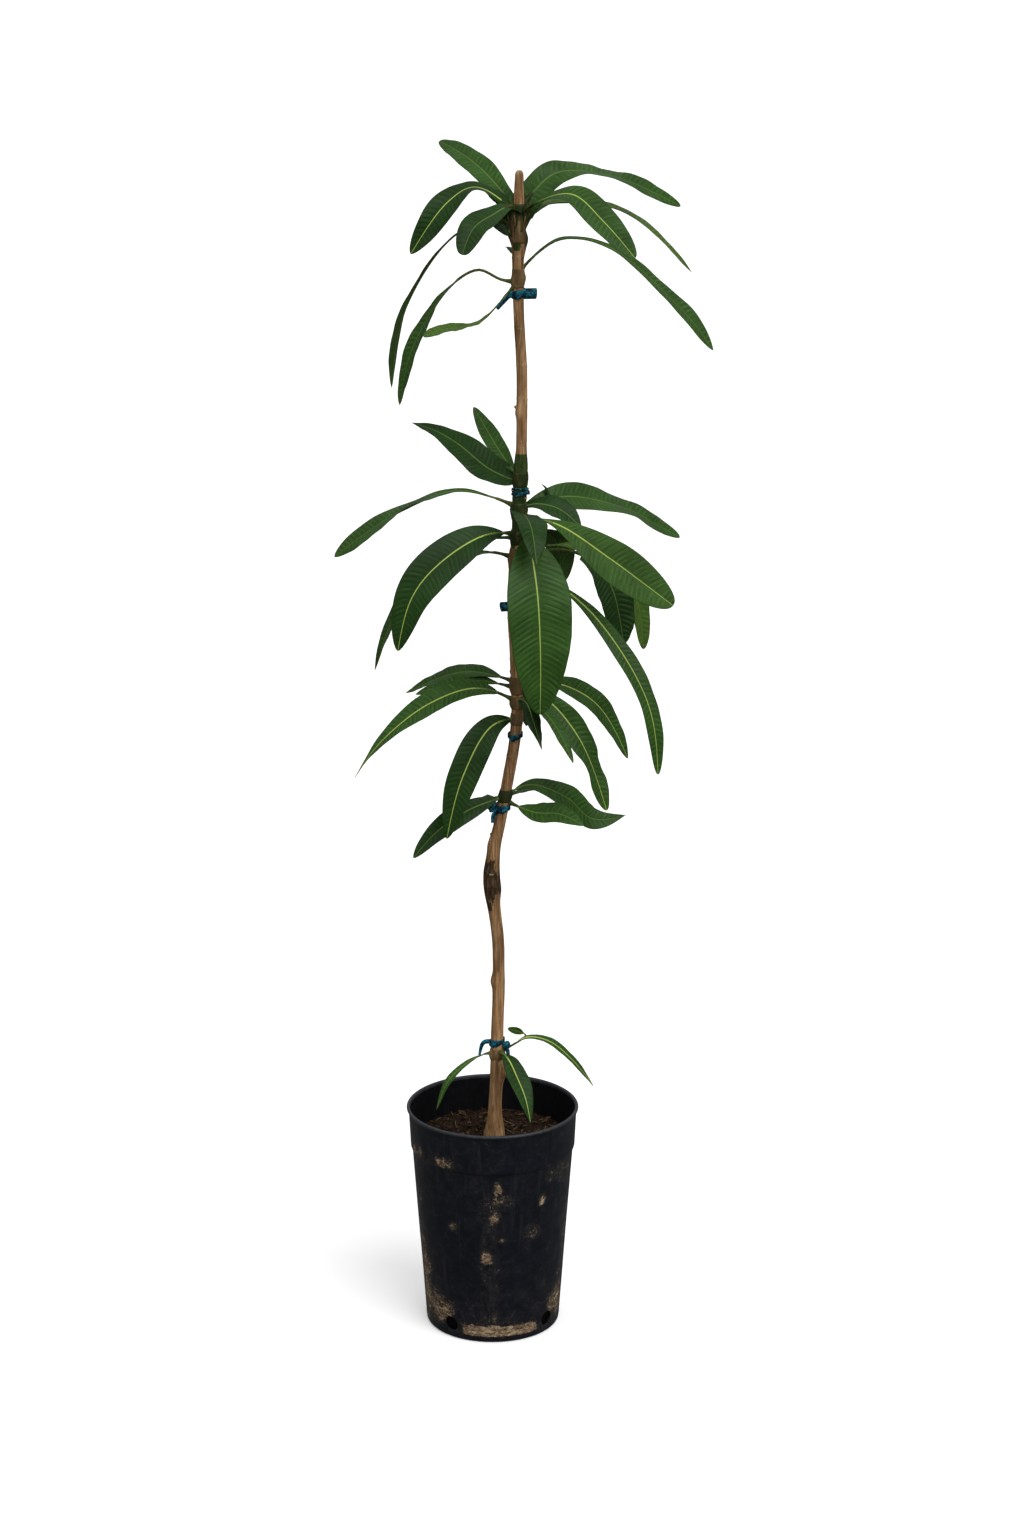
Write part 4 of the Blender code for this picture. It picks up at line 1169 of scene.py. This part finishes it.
class Paint:
    """A node material, built step by step."""

    def __init__(self, name, roughness=0.5, specular=0.12):
        self.material = bpy.data.materials.new(name)
        self.material.use_nodes = True
        self.tree = self.material.node_tree
        self.shader = self.tree.nodes["Principled BSDF"].inputs
        self.shader["Roughness"].default_value = roughness
        self.shader["Metallic"].default_value = 0.0
        self.shader["Specular IOR Level"].default_value = specular
        self.place = self.tree.nodes.new("ShaderNodeTexCoord").outputs["Object"]

    def put(self, socket, value):
        """Links a value to a socket, or sets a plain one there."""
        if isinstance(value, bpy.types.NodeSocket):
            self.tree.links.new(value, socket)
        else:
            socket.default_value = value

    def node(self, kind, **inputs):
        made = self.tree.nodes.new(kind)
        for key, value in inputs.items():
            self.put(made.inputs[key.replace("_", " ")], value)
        return made

    def noise(self, scale, detail=4.0, roughness=0.55, stretch=None, distortion=0.0):
        vector = self.place
        if stretch:
            vector = self.node("ShaderNodeMapping", Vector=self.place, Scale=stretch).outputs["Vector"]
        made = self.node("ShaderNodeTexNoise", Vector=vector, Scale=scale, Detail=detail,
                         Roughness=roughness, Distortion=distortion)
        return made.outputs["Fac"]

    def ramp(self, value, stops):
        """Colours between the stops, which are (position, colour)."""
        made = self.node("ShaderNodeValToRGB", Fac=value)
        ramp = made.color_ramp
        while len(ramp.elements) < len(stops):
            ramp.elements.new(0.5)
        for element, (position, colour) in zip(ramp.elements, stops):
            element.position = position
            element.color = (*colour, 1)
        return made.outputs["Color"]

    def between(self, value, low, high, to_low=0.0, to_high=1.0):
        made = self.node("ShaderNodeMapRange", Value=value, From_Min=low, From_Max=high,
                         To_Min=to_low, To_Max=to_high)
        return made.outputs["Result"]

    def mix(self, factor, first, second):
        made = self.tree.nodes.new("ShaderNodeMix")
        made.data_type = "RGBA"
        for socket, value in ((0, factor), (6, first), (7, second)):
            self.put(made.inputs[socket], (*value, 1) if isinstance(value, tuple) else value)
        return made.outputs[2]

    def math(self, operation, first, second):
        made = self.tree.nodes.new("ShaderNodeMath")
        made.operation = operation
        for socket, value in zip(made.inputs, (first, second)):
            self.put(socket, value)
        return made.outputs[0]

    def colour(self, value):
        self.put(self.shader["Base Color"], value)

    def roughness(self, value):
        self.put(self.shader["Roughness"], value)

    def bump(self, height, strength, distance):
        made = self.node("ShaderNodeBump", Height=height, Strength=strength, Distance=distance)
        self.put(self.shader["Normal"], made.outputs["Normal"])


def shade(colour, factor):
    return tuple(channel * factor for channel in colour)


def leaf_material(name, colour, roughness=0.42, dull=0.72, fresh=1.25, specular=0.12):
    """Leaf skin: blotches a little lighter and darker, and the fine net of veins."""
    paint = Paint(name, roughness, specular)
    blotch = paint.noise(24, 3)
    fleck = paint.noise(260, 3)
    base = paint.ramp(blotch, ((0.3, shade(colour, dull)), (0.55, colour), (0.8, shade(colour, fresh))))
    paint.colour(paint.mix(paint.between(fleck, 0.45, 0.75, 0, 0.3), base, shade(colour, 1.4)))
    paint.roughness(paint.between(fleck, 0.3, 0.7, roughness - 0.05, roughness + 0.1))
    net = paint.node("ShaderNodeTexVoronoi", Vector=paint.place, Scale=520.0)
    net.feature = "DISTANCE_TO_EDGE"
    paint.bump(net.outputs["Distance"], 0.15, 0.0004)
    return paint.material


def stalk_material(name, colour, other, roughness=0.5):
    paint = Paint(name, roughness)
    streak = paint.noise(160, 4, stretch=(1, 1, 0.3))
    paint.colour(paint.ramp(streak, ((0.32, shade(colour, 0.7)), (0.5, colour), (0.72, other))))
    paint.roughness(paint.between(streak, 0.3, 0.7, roughness - 0.08, roughness + 0.12))
    paint.bump(paint.noise(700, 3), 0.25, 0.0004)
    return paint.material


def bark_material(name, dark, middle, light, roughness=0.8, streaks=(1, 1, 0.08)):
    paint = Paint(name, roughness)
    grain = paint.noise(300, 6, 0.65, streaks, 0.4)
    patch = paint.noise(38, 4, stretch=(1, 1, 0.5))
    base = paint.ramp(grain, ((0.3, dark), (0.5, middle), (0.72, light)))
    paint.colour(paint.mix(paint.between(patch, 0.45, 0.7, 0, 0.55), base, shade(dark, 0.8)))
    paint.roughness(paint.between(grain, 0.3, 0.7, roughness - 0.15, roughness + 0.1))
    paint.bump(paint.math("ADD", grain, paint.noise(900, 3)), 0.5, 0.0006)
    return paint.material


def tape_material():
    paint = Paint("teal_tape", 0.42)
    # Teal tape, with painted shade in its creases and painted highlights on its folds
    crease_shade_and_highlight = paint.noise(240, 5, 0.6, distortion=0.8)
    base = paint.ramp(crease_shade_and_highlight, ((0.38, (0.0012, 0.008, 0.017)), (0.5, (0.003, 0.042, 0.068)),
                               (0.64, (0.016, 0.20, 0.27))))
    paint.colour(paint.mix(paint.between(paint.noise(60, 3), 0.5, 0.7, 0, 0.6), base, (0.003, 0.020, 0.036)))
    paint.roughness(paint.between(crease_shade_and_highlight, 0.3, 0.7, 0.3, 0.6))
    paint.bump(crease_shade_and_highlight, 0.5, 0.0008)
    return paint.material


def pot_material():
    """Dark satin plastic with dust and dried splashes."""
    paint = Paint("dark_plastic", 0.5, 0.14)
    amount = paint.node("ShaderNodeAttribute")
    amount.attribute_name = "dirt"
    amount = amount.outputs["Fac"]
    cloud = paint.noise(60, 8, 0.72, distortion=0.6)
    crumb = paint.noise(290, 8, 0.78, distortion=0.9)
    smear = paint.noise(260, 6, 0.7, (0.3, 0.3, 1.0), 0.5)
    streak = paint.noise(130, 6, 0.7, (1, 1, 0.05), 0.3)
    breakup = paint.math("ADD", paint.between(cloud, 0.25, 0.75, -0.34, 0.34),
                         paint.between(crumb, 0.25, 0.75, -0.46, 0.46))
    broken = paint.math("ADD", amount, breakup)
    mask = paint.between(broken, 0.50, 0.74)
    haze = paint.between(broken, 0.12, 0.6, 0, 0.35)
    scratch = paint.between(streak, 0.57, 0.72, 0, 0.5)
    plastic = paint.ramp(cloud, ((0.35, (0.0040, 0.0048, 0.0078)), (0.65, (0.0085, 0.0098, 0.0150))))
    scratched = paint.mix(scratch, plastic, (0.030, 0.030, 0.032))
    hazed = paint.mix(haze, scratched, (0.060, 0.050, 0.040))
    grime = paint.math("MULTIPLY", paint.math("ADD", crumb, smear), 0.5)
    dirt = paint.ramp(grime, ((0.40, (0.030, 0.020, 0.013)), (0.5, (0.19, 0.125, 0.072)),
                              (0.60, (0.52, 0.40, 0.26))))
    paint.colour(paint.mix(paint.math("MULTIPLY", mask, 0.92), hazed, dirt))
    paint.roughness(paint.between(mask, 0, 1, 0.46, 0.9))
    relief = paint.math("ADD", paint.math("MULTIPLY", mask, 0.8), paint.math("MULTIPLY", crumb, 0.5))
    paint.bump(relief, 0.5, 0.0009)
    return paint.material


def plain_plastic(name, colour, roughness, specular):
    paint = Paint(name, roughness, specular)
    scuff = paint.noise(240, 5, 0.65, (1, 1, 0.4))
    paint.colour(paint.ramp(scuff, ((0.35, shade(colour, 0.7)), (0.65, shade(colour, 1.4)))))
    paint.roughness(paint.between(scuff, 0.3, 0.7, roughness - 0.08, roughness + 0.12))
    paint.bump(scuff, 0.2, 0.0004)
    return paint.material


def soil_material(name, dark, light):
    paint = Paint(name, 0.95, 0.1)
    crumb = paint.noise(330, 6, 0.7)
    patch = paint.noise(45, 3)
    base = paint.ramp(crumb, ((0.32, shade(dark, 0.6)), (0.5, dark), (0.72, light)))
    paint.colour(paint.mix(paint.between(patch, 0.4, 0.65, 0, 0.6), base, shade(dark, 0.7)))
    paint.bump(crumb, 0.8, 0.0015)
    return paint.material


def floor_material():
    paint = Paint("floor_paint", 0.85)
    tone = paint.noise(1.5, 3)
    paint.colour(paint.ramp(tone, ((0.3, (0.91, 0.91, 0.91)), (0.7, (0.92, 0.92, 0.92)))))
    paint.shader["Emission Color"].default_value = (1, 1, 1, 1)
    paint.shader["Emission Strength"].default_value = FLOOR_GLOW
    return paint.material


# Stage


def make_floor():
    bpy.ops.mesh.primitive_plane_add(size=FLOOR_SIZE)
    floor = bpy.context.object
    floor.name = "floor"
    floor.data.materials.append(floor_material())
    floor.visible_diffuse = False
    floor.visible_glossy = False


def make_world():
    """White behind everything, and soft light that comes mostly from above."""
    world = bpy.data.worlds.new("studio")
    bpy.context.scene.world = world
    world.use_nodes = True
    nodes = world.node_tree.nodes
    seen = nodes["Background"]
    seen.inputs["Color"].default_value = (1, 1, 1, 1)
    seen.inputs["Strength"].default_value = WHITE_BACKGROUND
    place, split, climb, light, path, choose = (nodes.new("ShaderNode" + kind) for kind in (
        "TexCoord", "SeparateXYZ", "MapRange", "Background", "LightPath", "MixShader"))
    climb.inputs["To Min"].default_value = SKY_LOW
    climb.inputs["To Max"].default_value = SKY_HIGH
    for output, socket in (
        (place.outputs["Generated"], split.inputs[0]),
        (split.outputs["Z"], climb.inputs["Value"]),
        (climb.outputs["Result"], light.inputs["Strength"]),
        (path.outputs["Is Camera Ray"], choose.inputs[0]),
        (light.outputs[0], choose.inputs[1]),
        (seen.outputs[0], choose.inputs[2]),
        (choose.outputs[0], nodes["World Output"].inputs["Surface"]),
    ):
        world.node_tree.links.new(output, socket)


def add_sun(name, way, softness, strength):
    """Even light from one side, its shadows as soft as the angle that it fills."""
    data = bpy.data.lights.new(name, "SUN")
    data.angle = math.radians(softness)
    data.energy = strength
    light = bpy.data.objects.new(name, data)
    bpy.context.scene.collection.objects.link(light)
    light.rotation_euler = Vector(way).to_track_quat("Z", "Y").to_euler()


def make_stage():
    make_floor()
    make_world()
    for sun in SUNS:
        add_sun(*sun)
    bpy.context.scene.view_settings.view_transform = "Standard"


def make_camera():
    data = bpy.data.cameras.new("camera")
    data.sensor_fit = "VERTICAL"
    data.sensor_height = SENSOR_HEIGHT
    data.lens = FOCAL_PIXELS / PICTURE_HEIGHT * SENSOR_HEIGHT
    data.clip_end = FLOOR_SIZE
    camera = bpy.data.objects.new("camera", data)
    bpy.context.scene.collection.objects.link(camera)
    camera.location = CAMERA_PLACE
    camera.rotation_euler = (math.radians(90 - CAMERA_DOWN), 0, 0)
    bpy.context.scene.camera = camera


def dress(piece, slot, *nodes):
    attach(piece, "root")
    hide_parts(*nodes)


def main():
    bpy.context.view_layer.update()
    make_camera()
    make_stage()

    # Each tone's skin, its side veins with a painted highlight, and the painted shade between them
    leaf_materials = [leaf_material(f"{part}_{tone}", colours[i])
                      for i, part in enumerate(("leaf", "vein", "shade")) for tone, colours in TONES.items()]
    leaf_materials += [
        leaf_material("rib_bright", (0.36, 0.46, 0.10), 0.45, 0.85, 1.15),
        leaf_material("rib_dull", (0.085, 0.15, 0.028), 0.45, 0.85, 1.2),
        leaf_material("leaf_under", (0.050, 0.100, 0.024), 0.6, specular=0.05),
    ]
    stalk_materials = [
        stalk_material("stalk_green", (0.050, 0.078, 0.014), (0.120, 0.108, 0.030)),
        stalk_material("rib_under", (0.085, 0.14, 0.032), (0.14, 0.19, 0.05)),
        stalk_material("leaf_base", (0.022, 0.034, 0.008), (0.085, 0.065, 0.026)),
        stalk_material("collar_brown", (0.14, 0.085, 0.036), (0.26, 0.17, 0.08), 0.7),
    ]
    bark_materials = [
        bark_material("bark_brown", (0.095, 0.048, 0.020), (0.31, 0.17, 0.075), (0.58, 0.38, 0.20)),
        bark_material("bark_green", (0.010, 0.020, 0.004), (0.030, 0.052, 0.010), (0.09, 0.11, 0.025), 0.6),
        bark_material("leaf_scar", (0.13, 0.08, 0.036), (0.33, 0.23, 0.12), (0.55, 0.42, 0.26)),
        bark_material("graft_bark", (0.014, 0.008, 0.004), (0.046, 0.028, 0.014), (0.15, 0.10, 0.055), 0.9,
                      (1, 1, 0.4)),
    ]
    tape = [tape_material()]
    for seed, mass in enumerate(MASSES):
        blades, stalks = make_leaves(mass, 40 + seed, leaf_materials, stalk_materials)
        dress(blades, "leaf", mass.name)
        dress(stalks, "leaf", mass.name)
    dress(make_bark(bark_materials), "bark", "trunk")
    for i, tie in enumerate(TIES):
        dress(make_tie(tie, 0.15 * i, tape), "tie", tie.name)
    dress(make_pot([
        pot_material(),
        # A painted highlight: the lip, lighter than the wall
        plain_plastic("lip_highlight_plastic", (0.022, 0.024, 0.029), 0.45, 0.3),
        # Painted shade: the inside of the wall, darker than the outside
        plain_plastic("shaded_inside_plastic", (0.0035, 0.0037, 0.0045), 0.6, 0.08),
    ]), "pot", "pot")
    dress(make_soil([
        soil_material("soil_dark", (0.016, 0.009, 0.005), (0.070, 0.042, 0.022)),
        soil_material("soil_clod", (0.040, 0.022, 0.011), (0.15, 0.095, 0.052)),
        soil_material("soil_straw", (0.13, 0.080, 0.038), (0.30, 0.20, 0.10)),
        soil_material("soil_chip", (0.060, 0.033, 0.017), (0.26, 0.165, 0.095)),
        # Near-black painted shade for the soil's low places and the plug's sides
        soil_material("soil_in_shadow", (0.003, 0.002, 0.0015), (0.008, 0.005, 0.003)),
    ]), "soil", "soil")


main()
